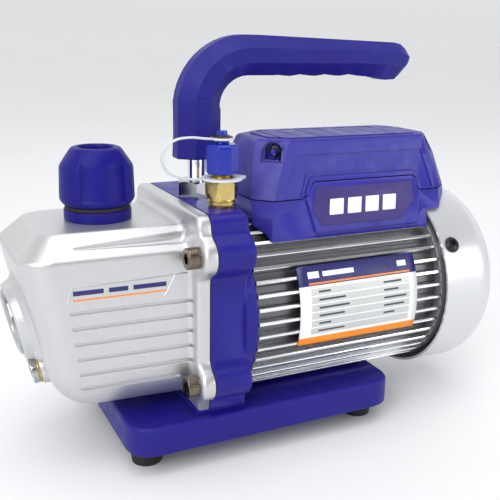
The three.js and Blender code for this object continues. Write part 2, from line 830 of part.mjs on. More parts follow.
// Fan: a hub and back plate with straight radial blades.
const blades = Array.from({ length: 8 }, (_, i) => {
  const angle = (i / 8) * 360;
  const blade = [
    [154.4, 8],
    [169, 8],
    [169, 40],
    [154.4, 43],
  ];
  const plate = extrude(blade, 1.8).translate(0, 0, -0.9);
  plate.rotateX(THREE.MathUtils.degToRad(angle)).translate(0, 0, SHAFT_Z);
  return solid(plate);
});
add(
  "cooling_fan",
  cut(
    join(
      rod(9, 153.2, 169, SHAFT, ALONG_X, 20),
      rod(40, 153.2, 155, SHAFT, ALONG_X, 32),
      ...blades,
    ),
    rod(SHAFT_R - 0.45, 150, 168.02, SHAFT, ALONG_X, 20),
  ),
  BLACK,
  0.6,
  0,
);

const cowlOuter = [
  [COWL.x0, COWL.r],
  [166, COWL.r],
  [172, 52.8],
  [177.4, 49.2],
  [181.4, 43],
  [COWL.x1, 35],
  [COWL.x1, 0],
];
const cowlInner = [
  [COWL.x1 - 1.4, 0],
  [COWL.x1 - 1.4, 34.8],
  [180, 42.4],
  [176.4, 48.2],
  [171.4, 51.5],
  [165.8, COWL.r - COWL.wall],
  [COWL.x0, COWL.r - COWL.wall],
];
const cowlSlots = Array.from({ length: 12 }, (_, i) => {
  const angle = THREE.MathUtils.degToRad((i / 12) * 360);
  const slot = new THREE.BoxGeometry(10, 20, 3.6).translate(COWL.x1, 23, 0);
  return solid(slot.rotateX(angle).translate(0, 0, SHAFT_Z));
});
add(
  "fan_cover",
  cut(
    turn([...cowlOuter, ...cowlInner], 40, SHAFT, ALONG_X),
    cowlSlots,
    COWL.screwAngles.map((degrees) => {
      const angle = THREE.MathUtils.degToRad(degrees);
      return rod(2.3, 50, 60, [COWL.screwX, 0, SHAFT_Z], [0, -Math.cos(angle), Math.sin(angle)], 10);
    }),
  ),
  0xe4e7ea,
  0.35,
  0.3,
);
COWL.screwAngles.forEach((degrees, i) => {
  const angle = THREE.MathUtils.degToRad(degrees);
  const out = [0, -Math.cos(angle), Math.sin(angle)];
  const head = turn(
    [
      [45, 0],
      [45, 2],
      [COWL.r, 2],
      [COWL.r, 4.3],
      [COWL.r + 1.8, 3.8],
      [COWL.r + 2.7, 0],
    ],
    12,
    [COWL.screwX, 0, SHAFT_Z],
    out,
  );
  add(`cover_screw_${i + 1}`, head, BLACK, 0.35, 0.6);
});

const PLATE = { x0: 48, x1: 121.5, top: 148.5, bottom: 197, r0: MOTOR.fin + 0.1, r1: MOTOR.fin + 0.7 };
const plateArc = (radius, a, b) => arc(0, SHAFT_Z, radius, a, b, 14);
add(
  "nameplate",
  alongX(
    [...plateArc(PLATE.r1, PLATE.top, PLATE.bottom), ...plateArc(PLATE.r0, PLATE.bottom, PLATE.top)],
    PLATE.x0,
    PLATE.x1,
  ),
  0xd0d2d4,
  0.4,
  0.4,
);

// ---- terminal box ----
// [height, left end, right end, half width, left end half, right end half, side's left end, side's right end]
const boxRows = [
  [BOX.bottom, 34.5, 156, 35.2, 26, 26, 38.5, 145],
  [118, 33.6, 158, 31.2, 22.5, 22, 40.5, 147.5],
  [BOX.part, 33, 159, 29, 20, 19, 42, 148],
  [147, 36, 153.5, 24.8, 15.5, 14.5, 49, 143.5],
  [157.2, 39.2, 148.2, 22.5, 12.2, 12, 53.6, 139.4],
  [BOX.top, 40.4, 147, 21.6, 11.6, 11.4, 54.4, 138.6],
];
function boxPlan([z, left, right, half, leftHalf, rightHalf, nearLeft, nearRight], inset) {
  const [l, r, h] = [left + inset, right - inset, half - inset];
  const [lh, rh] = [leftHalf - inset * 0.5, rightHalf - inset * 0.5];
  const [nl, nr] = [nearLeft + inset * 0.4, nearRight - inset * 0.4];
  const plan = [[l, -lh], [nl, -h], [nr, -h], [r, -rh], [r, rh], [nr, h], [nl, h], [l, lh]];
  return plan.map(([x, y]) => [x, y, z]);
}
const boxSkin = loft(boxRows.map((row) => boxPlan(row, 0)));
const boxCeiling = [155.7, 38.7, 149, 22.9, 12.6, 12.4, 52.8, 140.2];
const boxInner = loft([...boxRows.slice(0, 4), boxCeiling].map((row) => boxPlan(row, BOX.wall)));
const saddle = (extra) => [
  rod(SADDLE.motor + extra, 0, SADDLE.step + extra, SHAFT, ALONG_X, 32),
  rod(SADDLE.cowl + extra, SADDLE.step - extra, 200, SHAFT, ALONG_X, 32),
];
const boxShell = cut(boxSkin, ...saddle(0), cut(boxInner, ...saddle(BOX.wall)));
const partLine = [
  [20, BOX.part],
  [58.5, BOX.part],
  [61.6, 129.7],
  [63.9, 134.7],
  [66.4, BOX.partRaised],
  [128.7, BOX.partRaised],
  [131.4, 135.2],
  [132.3, 129.7],
  [134.3, BOX.part],
  [170, BOX.part],
];
const below = alongY([[20, 90], ...partLine.map(([x, z]) => [x, z - 0.1]), [170, 90]], -60, 60);
const above = alongY([...partLine.map(([x, z]) => [x, z + 0.1]), [170, 190], [20, 190]], -60, 60);

// Screw pockets in the four slanted corners of the cover.
const pocketSpots = [
  ["front_near", 46.4, -18.6, [-0.6, -0.8]],
  ["front_far", 46.4, 18.6, [-0.6, 0.8]],
  ["rear_near", 146.6, -18.2, [0.7, -0.71]],
  ["rear_far", 146.6, 18.2, [0.7, 0.71]],
];
const POCKET = { z0: 148, half: 4.4, depth: 5 };
function pocketPart(x, y, [ox, oy], half, back, front, z0, z1) {
  const outline = [
    ...arc(0, z1 - half, half, 0, 180, 5),
    [-half, z0],
    [half, z0],
  ];
  const geometry = extrude(outline, front - back).translate(0, 0, back);
  const out = new THREE.Vector3(ox, oy, 0).normalize();
  const across = new THREE.Vector3(0, 0, 1).cross(out);
  const place = new THREE.Matrix4().makeBasis(across, new THREE.Vector3(0, 0, 1), out);
  return solid(geometry.applyMatrix4(place).translate(x, y, 0));
}
const pockets = pocketSpots.map(([, x, y, out]) =>
  pocketPart(x, y, out, POCKET.half, -POCKET.depth, 14, POCKET.z0, 157),
);
const pocketWalls = pocketSpots.map(([, x, y, out]) =>
  pocketPart(x, y, out, POCKET.half + 1.8, -POCKET.depth - 1.8, 14, POCKET.z0 - 1.8, 158).intersect(boxSkin),
);
const screwHoles = pocketSpots.map(([, x, y, [ox, oy]]) =>
  rod(1.7, -14, 2, [x, y, 152], [ox, oy, 0], 8),
);

const SWITCH = { x: 84, width: 19, height: 13, rest: THREE.MathUtils.degToRad(7) };
const GLAND = { x: 114, z: 121, bore: 3.4, tube: 5.2, flange: 7.6 };
const faceUp = [0, -Math.sin(BOX_LEAN), Math.cos(BOX_LEAN)];
const faceOut = [0, Math.cos(BOX_LEAN), Math.sin(BOX_LEAN)];
const onFarFace = (x, z) => [x, BOX.topHalf + (BOX.top - z) * Math.tan(BOX_LEAN), z];
function onFace(body, x, z) {
  return solid(body.applyMatrix4(frame([-1, 0, 0], faceUp, faceOut, onFarFace(x, z))));
}
const slab = (width, height, back, front) =>
  new THREE.BoxGeometry(width, height, front - back).translate(0, 0, (back + front) / 2);
const switchHole = onFace(slab(SWITCH.width, SWITCH.height, -8, 6), SWITCH.x, 123);
const glandSpot = [GLAND.x, 30.5, GLAND.z];
const glandHole = rod(GLAND.tube + 0.2, -12, 8, glandSpot, [0, 1, 0], 16);

const posts = pocketSpots.map(([, x, y, [ox, oy]]) => {
  const length = Math.hypot(ox, oy);
  const back = POCKET.depth + 5.4;
  return [x - (ox / length) * back, y - (oy / length) * back];
});
const boxPosts = posts.map(([x, y]) => box(x - 3.2, x + 3.2, y - 3.2, y + 3.2, 112, 153.5));
const cradle = [70, 94].map((x) =>
  cut(box(x, x + 3, -9, 9, 120, 130), rod(12.7, x - 1, x + 4, [0, 0, 138], ALONG_X, 24)),
);
add(
  "terminal_box_base",
  cut(
    join(
      boxShell.intersect(below),
      ...boxPosts.map((post) => cut(post, ...saddle(1))),
      ...cradle.map((part) => cut(part, ...saddle(1))),
    ),
    switchHole,
    glandHole,
    screwHoles,
  ),
  BLUE,
  0.45,
  0.02,
);
add(
  "terminal_box_cover",
  cut(
    join(boxShell, ...pocketWalls).intersect(above),
    pockets,
    screwHoles,
    posts.map(([x, y]) => box(x - 3.4, x + 3.4, y - 3.4, y + 3.4, 120, 153.7)),
  ),
  BLUE,
  0.45,
  0.02,
);
for (const [name, x, y, [ox, oy]] of pocketSpots) {
  const screw = turn(
    [
      [-POCKET.depth - 5, 0],
      [-POCKET.depth - 5, 1.5],
      [-POCKET.depth, 1.5],
      [-POCKET.depth, 3.2],
      [-POCKET.depth + 1.2, 3],
      [-POCKET.depth + 2, 0],
    ],
    12,
    [x, y, 152],
    [ox, oy, 0],
  );
  add(`box_screw_${name}`, screw, STEEL, 0.35, 0.9);
}

const badgeOutline = [
  [66.2, 133.5],
  [128.5, 133.5],
  [129.7, 122.7],
  [120, 113.1],
  [68.2, 113.1],
  [62.2, 122],
];
const nearFace = frame(
  [1, 0, 0],
  [0, Math.sin(BOX_LEAN), Math.cos(BOX_LEAN)],
  [0, -Math.cos(BOX_LEAN), Math.sin(BOX_LEAN)],
  [0, -BOX.topHalf, BOX.top],
);
const badgePlate = extrude(
  badgeOutline.map(([x, z]) => [x, (z - BOX.top) / Math.cos(BOX_LEAN)]),
  0.7,
);
add("badge_plate", cut(solid(badgePlate.applyMatrix4(nearFace)), boxSkin), 0x4b4190, 0.5, 0.2);

add("run_capacitor", rod(12.5, 60, 106, [0, 0, 138], ALONG_X, 24), 0x2a2a2e, 0.5, 0.1);

add(
  "switch_housing",
  cut(
    join(
      onFace(slab(SWITCH.width - 0.4, SWITCH.height - 0.4, -6, 1), SWITCH.x, 123),
      onFace(slab(SWITCH.width + 3, SWITCH.height + 3, 0.1, 1.6), SWITCH.x, 123),
    ),
    boxShell.subtract(switchHole),
    onFace(slab(SWITCH.width - 4, SWITCH.height - 3, -3.6, 6), SWITCH.x, 123),
  ),
  BLACK,
  0.5,
  0,
);
const rockerSide = [[-6.5, -0.9], [0, -2.2], [6.5, -0.9], [6.5, 2.2], [0, 1.2], [-6.5, 2.2]];
const rocker = extrude(rockerSide, 9.2).translate(0, 0, -4.6).rotateZ(SWITCH.rest).rotateX(Math.PI / 2);
add("switch_rocker", onFace(rocker, SWITCH.x, 123), BLACK, 0.45, 0);
add(
  "cord_gland",
  cut(
    turn(
      [
        [-8, GLAND.bore],
        [-8, GLAND.tube],
        [-2.2, GLAND.tube],
        [-2.2, GLAND.flange],
        [4, GLAND.flange],
        [4.6, 6.4],
        [12.4, 5.8],
        [13.4, 5],
        [13.4, GLAND.bore],
      ],
      16,
      glandSpot,
      [0, 1, 0],
    ),
    boxShell.subtract(glandHole),
  ),
  BLACK,
  0.7,
  0,
);

// ---- vane pump inside the reservoir ----
const BORE_SPOT = [0, 0, SHAFT_Z - PUMP.offset];
const BLOCK_SPOT = [0, 0, SHAFT_Z - 1];
add(
  "pump_cylinder",
  cut(
    rod(PUMP.outer, PUMP.x0, 0, BLOCK_SPOT, ALONG_X, 32),
    rod(PUMP.bore, PUMP.x0 - 1, 1, BORE_SPOT, ALONG_X, 48),
    box(PUMP.x0 - 1, 1, -30, 30, PUMP.flatZ, 110),
    rod(1.6, 75, 100, [-16, 7, 0], UP, 8),
  ),
  0x8a8d90,
  0.45,
  0.85,
);
add("pump_end_plate", rod(PUMP.outer, PUMP.x0 - 4, PUMP.x0, BLOCK_SPOT, ALONG_X, 32), 0x8a8d90, 0.45, 0.85);
const slots = [1, -1].map((side) => {
  const reach = [8 * side, 22 * side].sort((a, b) => a - b);
  return box(PUMP.x0 - 1, 1, ...reach, SHAFT_Z - PUMP.vane / 2 - 0.05, SHAFT_Z + PUMP.vane / 2 + 0.05);
});
add(
  "pump_rotor",
  cut(
    rod(PUMP.rotor, PUMP.x0 + 0.1, -0.1, SHAFT, ALONG_X, 40),
    rod(SHAFT_R + 0.03, PUMP.x0 - 1, 1, SHAFT, ALONG_X, 20),
    slots,
  ).add(rod(SHAFT_R + 0.5, PUMP.x0 + 0.1, -28, SHAFT, ALONG_X, 20)),
  STEEL,
  0.4,
  0.9,
);
for (const [name, side] of [["vane_near", -1], ["vane_far", 1]]) {
  const reach = [9.6 * side, 16.9 * side].sort((a, b) => a - b);
  const halfThick = PUMP.vane / 2;
  add(name, box(PUMP.x0 + 0.2, -0.2, ...reach, SHAFT_Z - halfThick, SHAFT_Z + halfThick), 0x3c3c3e, 0.6, 0.1);
}
add("reed_valve", box(-27, -4, 2.5, 11.5, PUMP.flatZ, PUMP.flatZ + 0.6), STEEL, 0.25, 0.95);

export default root;
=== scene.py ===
import json
from math import acos, atan, cos, exp, hypot, pi, radians, sin, sqrt, tan

import bmesh
import bpy
from mathutils import Matrix, Vector

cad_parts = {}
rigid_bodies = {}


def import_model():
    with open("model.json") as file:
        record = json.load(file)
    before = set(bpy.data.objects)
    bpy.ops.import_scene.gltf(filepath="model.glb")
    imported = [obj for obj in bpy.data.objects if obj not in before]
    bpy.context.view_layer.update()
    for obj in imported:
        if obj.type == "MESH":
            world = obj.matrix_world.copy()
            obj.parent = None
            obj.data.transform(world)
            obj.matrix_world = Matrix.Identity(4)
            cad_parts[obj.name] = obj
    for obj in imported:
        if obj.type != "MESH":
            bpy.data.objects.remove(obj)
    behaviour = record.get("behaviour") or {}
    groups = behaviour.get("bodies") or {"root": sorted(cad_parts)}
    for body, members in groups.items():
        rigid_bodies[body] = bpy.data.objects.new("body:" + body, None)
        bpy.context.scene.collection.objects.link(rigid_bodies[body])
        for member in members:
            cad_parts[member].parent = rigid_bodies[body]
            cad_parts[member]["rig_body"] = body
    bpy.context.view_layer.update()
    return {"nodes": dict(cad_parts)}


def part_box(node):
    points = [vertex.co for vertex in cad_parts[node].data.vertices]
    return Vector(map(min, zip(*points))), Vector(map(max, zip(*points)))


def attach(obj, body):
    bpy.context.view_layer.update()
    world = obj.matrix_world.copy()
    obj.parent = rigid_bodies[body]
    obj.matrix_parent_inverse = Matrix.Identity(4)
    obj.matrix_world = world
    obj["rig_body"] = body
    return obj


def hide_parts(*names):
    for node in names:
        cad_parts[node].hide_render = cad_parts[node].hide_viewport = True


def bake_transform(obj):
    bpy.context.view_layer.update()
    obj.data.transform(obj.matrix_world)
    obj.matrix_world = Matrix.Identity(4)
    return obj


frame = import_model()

# Lengths below are in millimetres. X runs along the shaft from the joint face of reservoir and bracket.
JOINT_X = 1000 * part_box("pump_bracket")[0].x
SHAFT_Z = 70
AXIS = (0, 0, SHAFT_Z)
ALONG = (1, 0, 0)
ACROSS = (0, 1, 0)
UP = (0, 0, 1)
BRACKET_TOP = 1000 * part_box("pump_bracket")[1].z
BRACKET_FOOT = 1000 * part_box("pump_bracket")[0].z


def metres(point):
    return ((point[0] + JOINT_X) / 1000, point[1] / 1000, point[2] / 1000)


def span(node):
    """A node's box as [(x0, x1), (y0, y1), (z0, z1)] in millimetres from the joint face."""
    low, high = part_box(node)
    return [(1000 * low[i] - shift, 1000 * high[i] - shift) for i, shift in enumerate((JOINT_X, 0, 0))]


# ---- flat outlines ----
NEARLY_STRAIGHT = radians(172)


def polar(radius, degrees, u=0.0, v=0.0):
    """The point at an angle on a circle about (u, v)."""
    return (u + radius * cos(radians(degrees)), v + radius * sin(radians(degrees)))


def arc(u, v, radius, start, end, steps):
    return [polar(radius, start + (end - start) * i / steps, u, v) for i in range(steps + 1)]


def rounded(points, radius, steps=5, closed=True):
    """Fillets the corners of an outline, but not the ends of an open one."""
    result = []
    count = len(points)
    for i, point in enumerate(points):
        corner = Vector(point)
        if not closed and i in (0, count - 1):
            result.append(tuple(corner))
            continue
        back = Vector(points[i - 1]) - corner
        ahead = Vector(points[(i + 1) % count]) - corner
        angle = back.angle(ahead)
        if angle > NEARLY_STRAIGHT:
            result.append(tuple(corner))
            continue
        reach = min(radius / tan(angle / 2), 0.45 * back.length, 0.45 * ahead.length)
        first = corner + back.normalized() * reach
        last = corner + ahead.normalized() * reach
        for k in range(steps + 1):
            t = k / steps
            result.append(tuple((1 - t) ** 2 * first + 2 * t * (1 - t) * corner + t * t * last))
    return result


def rectangle(u0, u1, v0, v1, radius=0.0, steps=5):
    corners = [(u0, v0), (u1, v0), (u1, v1), (u0, v1)]
    return rounded(corners, radius, steps) if radius else corners


def inset(outline, distance):
    """Moves a counter-clockwise outline inwards."""
    count = len(outline)
    result = []
    for i, point in enumerate(outline):
        here = Vector(point)
        before = (here - Vector(outline[i - 1])).normalized()
        after = (Vector(outline[(i + 1) % count]) - here).normalized()
        side = Vector((-before.y - after.y, before.x + after.x))
        result.append(tuple(here + side * distance / (1 + before.dot(after))))
    return result


def mirrored(half):
    return half + [(-u, v) for u, v in reversed(half)]


# ---- solids ----
def in_scene(name, data):
    """A new object of a mesh, camera or lamp."""
    obj = bpy.data.objects.new(name, data)
    bpy.context.scene.collection.objects.link(obj)
    return obj


def duplicate(obj):
    return in_scene(obj.name, obj.data.copy())


def mesh_object(name, points, faces):
    data = bpy.data.meshes.new(name)
    data.from_pydata([metres(p) for p in points], [], faces)
    work = bmesh.new()
    work.from_mesh(data)
    bmesh.ops.remove_doubles(work, verts=work.verts, dist=1e-7)
    bmesh.ops.recalc_face_normals(work, faces=work.faces)
    work.to_mesh(data)
    work.free()
    return in_scene(name, data)


def loft(name, loops, closed=False, caps=True, across=False):
    """Skins loops of equal length; closed joins the last to the first, across caps with crosswise strips."""
    count = len(loops[0])
    faces = []
    for k in range(len(loops) if closed else len(loops) - 1):
        low = k * count
        high = (k + 1) % len(loops) * count
        for i in range(count):
            j = (i + 1) % count
            faces.append((low + i, low + j, high + j, high + i))
    last = (len(loops) - 1) * count
    if across:
        for first in (0, last):
            for i in range(count // 2 - 1):
                faces.append((first + i, first + i + 1, first + count - 2 - i, first + count - 1 - i))
    elif caps and not closed:
        faces.append(tuple(reversed(range(count))))
        faces.append(tuple(range(last, last + count)))
    return mesh_object(name, [p for loop in loops for p in loop], faces)


PLACES = {
    "x": lambda u, v, w: (w, u, v),
    "y": lambda u, v, w: (u, w, v),
    "z": lambda u, v, w: (u, v, w),
}


def slab(name, outline, low, high, place, low_fillet=0.0, high_fillet=0.0, steps=4):
    """An outline with thickness, its two rims rounded."""
    put = PLACES.get(place, place)
    turns = [pi / 2 * k / steps for k in range(steps + 1)]
    levels = [(low, 0)]
    if low_fillet:
        levels = [(low + low_fillet * (1 - cos(a)), low_fillet * (1 - sin(a))) for a in turns]
    tops = [(high, 0)]
    if high_fillet:
        tops = [(high - high_fillet * (1 - cos(a)), high_fillet * (1 - sin(a))) for a in turns]
    loops = []
    for height, inward in levels + tops[::-1]:
        flat = inset(outline, inward) if inward else outline
        loops.append([put(u, v, height) for u, v in flat])
    return loft(name, loops)


def block(name, x, y, z):
    return slab(name, rectangle(*x, *y), *z, "z")


def lathe(name, profile, origin, direction, steps=96):
    """Turns [distance along, radius] points about an axis; ends on the axis, or closes on itself."""
    axis = Vector(direction).normalized()
    across = axis.orthogonal().normalized()
    up = axis.cross(across)
    loops = []
    for along, radius in profile:
        middle = Vector(origin) + axis * along
        angles = [2 * pi * i / steps for i in range(steps)]
        loops.append([tuple(middle + radius * (across * cos(a) + up * sin(a))) for a in angles])
    solid = profile[0][1] == 0 and profile[-1][1] == 0
    return loft(name, loops, closed=not solid, caps=False)


def rod(name, radius, low, high, origin, direction, steps=48):
    return lathe(name, [(low, 0), (low, radius), (high, radius), (high, 0)], origin, direction, steps)


def bake(obj):
    graph = bpy.context.evaluated_depsgraph_get()
    data = bpy.data.meshes.new_from_object(obj.evaluated_get(graph))
    obj.modifiers.clear()
    obj.data = data


def combine(operation, target, *tools):
    for tool in tools:
        step = target.modifiers.new("step", "BOOLEAN")
        step.operation = operation
        step.solver = "EXACT"
        step.object = tool
        bake(target)
        bpy.data.objects.remove(tool)
    return target


def join(name, objects):
    """One object of several meshes that don't touch."""
    work = bmesh.new()
    for obj in objects:
        work.from_mesh(obj.data)
        bpy.data.objects.remove(obj)
    data = bpy.data.meshes.new(name)
    work.to_mesh(data)
    work.free()
    return in_scene(name, data)


def cut(target, *tools):
    return combine("DIFFERENCE", target, *tools)


def fuse(target, *tools):
    return combine("UNION", target, *tools)


def soften(obj, width, angle=30, segments=3):
    """Rounds the edges that are sharper than angle."""
    obj.data.shade_smooth()
    edges = obj.modifiers.new("soft_edges", "BEVEL")
    edges.width = width / 1000
    edges.segments = segments
    edges.limit_method = "ANGLE"
    edges.angle_limit = radians(angle)
    edges.use_clamp_overlap = True
    normals = obj.modifiers.new("even_shading", "WEIGHTED_NORMAL")
    normals.keep_sharp = True
    return obj


def piece(obj, keys, *nodes, body="pump_frame", like=None, sharp=32):
    """Dresses a piece, lets it ride with the nodes it stands for, and hides those.

    A piece that stands for none rides with body. The argument like is not used.
    """
    obj.data.materials.clear()
    for key in (keys,) if isinstance(keys, str) else keys:
        obj.data.materials.append(MATERIALS[key])
    if not obj.modifiers:
        obj.data.shade_smooth()
        obj.data.set_sharp_from_angle(angle=radians(sharp))
    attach(obj, frame["nodes"][nodes[0]]["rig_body"] if nodes else body)
    if nodes:
        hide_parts(*nodes)
    return obj


# ---- materials ----
GRAIN_DEPTH = 0.0003


def preset(node, values):
    for socket, value in values.items():
        node.inputs[socket].default_value = value


def map_range(tree, value, start, stop, low, high):
    """Takes start..stop to low..high."""
    level = tree.nodes.new("ShaderNodeMapRange")
    for socket, number in zip(level.inputs[1:5], (start, stop, low, high)):
        socket.default_value = number
    tree.links.new(value, level.inputs["Value"])
    return level.outputs["Result"]


def surface(
    name, color, metallic=0.0, roughness=0.5, mottle=0.08, mottle_scale=45, grain=0.15, grain_scale=1500,
    stretch=(1, 1, 1), worn=None, worn_share=0.25, spread=0.08, coat=0.0, transmission=0.0, specular=0.5,
):
    """Colour that drifts a little, grain in the bump, uneven gloss and lighter edges."""
    material = bpy.data.materials.new(name)
    material.use_nodes = True
    tree = material.node_tree
    nodes = tree.nodes
    link = tree.links.new
    shader = nodes["Principled BSDF"]
    preset(shader, {"Metallic": metallic, "Specular IOR Level": specular})
    preset(shader, {"Transmission Weight": transmission, "Coat Weight": coat, "Coat Roughness": 0.2})
    place = nodes.new("ShaderNodeTexCoord")
    scaled = nodes.new("ShaderNodeMapping")
    scaled.inputs["Scale"].default_value = stretch
    link(place.outputs["Object"], scaled.inputs["Vector"])

    def noise(scale, detail):
        texture = nodes.new("ShaderNodeTexNoise")
        preset(texture, {"Scale": scale, "Detail": detail})
        link(scaled.outputs["Vector"], texture.inputs["Vector"])
        return texture.outputs["Fac"]

    def blend(factor, first, second):
        mix = nodes.new("ShaderNodeMix")
        mix.data_type = "RGBA"
        link(factor, mix.inputs["Factor"])
        for socket, value in ((mix.inputs["A"], first), (mix.inputs["B"], second)):
            if isinstance(value, tuple):
                socket.default_value = (*value, 1)
            else:
                link(value, socket)
        return mix.outputs["Result"]

    darker = tuple(c * (1 - mottle) for c in color)
    lighter = tuple(min(1, c * (1 + mottle)) for c in color)
    shade = blend(map_range(tree, noise(mottle_scale, 5), 0.3, 0.7, 0, 1), darker, lighter)
    if worn:
        edges = nodes.new("ShaderNodeNewGeometry")
        share = map_range(tree, edges.outputs["Pointiness"], 0.52, 0.62, 0, worn_share)
        shade = blend(share, shade, worn)
    link(shade, shader.inputs["Base Color"])
    gloss = map_range(tree, noise(mottle_scale * 3, 3), 0.3, 0.7, roughness - spread, roughness + spread)
    link(gloss, shader.inputs["Roughness"])
    relief = nodes.new("ShaderNodeBump")
    preset(relief, {"Strength": grain, "Distance": GRAIN_DEPTH})
    link(noise(grain_scale, 3), relief.inputs["Height"])
    link(relief.outputs["Normal"], shader.inputs["Normal"])
    return material


BLUE = (0.012, 0.008, 0.205)
BLUE_EDGE = (0.06, 0.05, 0.4)
EXTRUDED = {"mottle_scale": 160, "grain": 0.1, "grain_scale": 700, "stretch": (0.04, 1, 1)}


def blue(name, color, roughness, grain, specular):
    return surface(name, color, 0, roughness, grain=grain, worn=BLUE_EDGE, worn_share=0.3, specular=specular)


MATERIALS = {
    "paint": blue("blue_powder_coat", BLUE, 0.42, 0.12, 0.25),
    "bracket": blue("blue_bracket_coat", (0.014, 0.01, 0.22), 0.38, 0.14, 0.28),
    "box": blue("blue_box_plastic", (0.018, 0.015, 0.25), 0.42, 0.2, 0.42),
    "cap": blue("blue_cap_plastic", (0.008, 0.005, 0.19), 0.44, 0.1, 0.2),
    "grip": blue("blue_grip_plastic", (0.012, 0.009, 0.2), 0.48, 0.2, 0.25),
    "cast": surface("silver_casting", (0.62, 0.625, 0.635), 0.8, 0.36, mottle_scale=2400, grain=0.22,
                    grain_scale=2600, worn=(0.85, 0.85, 0.86), worn_share=0.35),
    "fins": surface("extruded_fins", (0.78, 0.79, 0.8), 1, 0.25, worn=(0.97, 0.97, 0.97), worn_share=0.7,
                    **EXTRUDED),
    # Painted shade: a dark metal for the valley floors between the fins, standing in for the shade that falls
    # in the deep gaps.
    "fin_gap_painted_shade": surface("fin_gap_painted_shade", (0.16, 0.16, 0.17), 1, 0.4, **EXTRUDED),
    "cowl": surface("cowl_sheet", (0.66, 0.67, 0.7), 0.4, 0.3, mottle=0.012, mottle_scale=14, grain=0.012,
                    spread=0.02, coat=0.3),
    "shield": surface("end_shield_casting", (0.3, 0.3, 0.31), 0.8, 0.55, mottle_scale=300, grain=0.5),
    "screw": surface("cap_screw_steel", (0.2, 0.165, 0.125), 1, 0.26, mottle_scale=300,
                     worn=(0.6, 0.55, 0.48)),
    "zinc": surface("zinc_plated_steel", (0.6, 0.61, 0.63), 1, 0.32, mottle_scale=200, grain=0.2),
    "chrome": surface("bright_plating", (0.82, 0.82, 0.84), 1, 0.1, mottle=0.03, grain=0.03, spread=0.04),
    "nut": surface("plated_nut", (0.46, 0.47, 0.49), 1, 0.14, mottle=0.05, grain=0.04, spread=0.05),
    "brass": surface("turned_brass", (0.62, 0.47, 0.16), 1, 0.22, mottle_scale=150, grain=0.1,
                     worn=(0.95, 0.85, 0.55)),
    "bronze": surface("dark_bronze", (0.1, 0.075, 0.04), 1, 0.4, mottle=0.2, grain=0.3,
                      worn=(0.5, 0.42, 0.3)),
    "rubber": surface("black_rubber", (0.012, 0.012, 0.013), 0, 0.7, mottle=0.3, grain=0.3),
    "black": surface("black_plastic", (0.018, 0.018, 0.02), 0, 0.5, mottle=0.25, grain=0.35),
    "gloss_black": surface("black_screw_coat", (0.02, 0.02, 0.022), 0.5, 0.32),
    "strap": surface("strap_plastic", (0.7, 0.73, 0.77), 0, 0.35, mottle=0.03, grain=0.1, transmission=0.1),
    "flare_cap": surface("translucent_blue", (0.004, 0.02, 0.38), 0, 0.2, grain=0.08, coat=0.3,
                         transmission=0.12, specular=0.4),
    "glass": surface("oil_level_glass", (0.05, 0.05, 0.045), 0, 0.08, grain=0.02, spread=0.03, coat=1),
    "white": surface("white_print", (0.85, 0.86, 0.87), 0, 0.38, mottle=0.03, grain=0.05),
    "silver_print": surface("silver_print", (0.58, 0.6, 0.6), 0.35, 0.4, mottle=0.05, grain=0.1),
    "navy": surface("navy_print", (0.016, 0.016, 0.13), 0, 0.35, grain=0.05),
    "orange": surface("orange_print", (0.92, 0.26, 0.0), 0, 0.38, mottle=0.05, grain=0.05),
    "ink": surface("dark_print", (0.06, 0.06, 0.07), 0, 0.5, mottle=0.1, grain=0.05),
    "badge": surface("badge_film", (0.05, 0.035, 0.18), 0.1, 0.4, mottle=0.1, specular=0.3),
    "copper": surface("enamelled_windings", (0.42, 0.12, 0.04), 0.6, 0.35, mottle=0.3, mottle_scale=500,
                      grain=0.8),
    "iron": surface("machined_iron", (0.22, 0.22, 0.225), 0.9, 0.45, mottle_scale=200, grain=0.3),
    "lamination": surface("lamination_stack", (0.25, 0.25, 0.27), 0.9, 0.5, mottle=0.3, mottle_scale=900,
                          stretch=(1, 0.05, 0.05)),
    "composite": surface("vane_composite", (0.04, 0.04, 0.042), 0, 0.55, mottle=0.3, grain=0.3),
}


# ---- camera and light ----
VIEW = (-26.68, 15.27, 1.25)  # azimuth, elevation and roll, solved from the photo with the lens and its shift
LENS, SENSOR, SHIFT = 54.57, 36, (-0.0159, -0.0163)
VIEWPOINT = (-135.3, -364.6, 210.4)
AIM = Vector((0, 0, 0.1))
LIGHTS = (
    ("key_light", (-1.1, -0.9, 0.85), 0.7, 7),
    ("fill_light", (1.1, -1.2, 0.5), 0.7, 4.5),
    ("top_light", (0.1, -0.1, 1.3), 0.9, 5),
)


def solved_camera():
    azimuth, elevation, roll = (radians(a) for a in VIEW)
    back = Vector((sin(azimuth) * cos(elevation), -cos(azimuth) * cos(elevation), sin(elevation)))
    level = Vector((cos(azimuth), sin(azimuth), 0))
    right = level * cos(roll) + back.cross(level) * sin(roll)
    data = bpy.data.cameras.new("camera")
    data.lens = LENS
    data.sensor_width = SENSOR
    data.shift_x, data.shift_y = SHIFT
    camera = in_scene("camera", data)
    turn = Matrix((right, back.cross(right), back)).transposed().to_4x4()
    camera.matrix_world = Matrix.Translation(metres(VIEWPOINT)) @ turn
    bpy.context.scene.camera = camera
    bpy.context.scene.view_settings.view_transform = "Standard"


def arithmetic(tree, operation, *terms):
    node = tree.nodes.new("ShaderNodeMath")
    node.operation = operation
    for socket, term in zip(node.inputs, terms):
        if isinstance(term, int):
            socket.default_value = term
        else:
            tree.links.new(term, socket)
    return node.outputs["Value"]


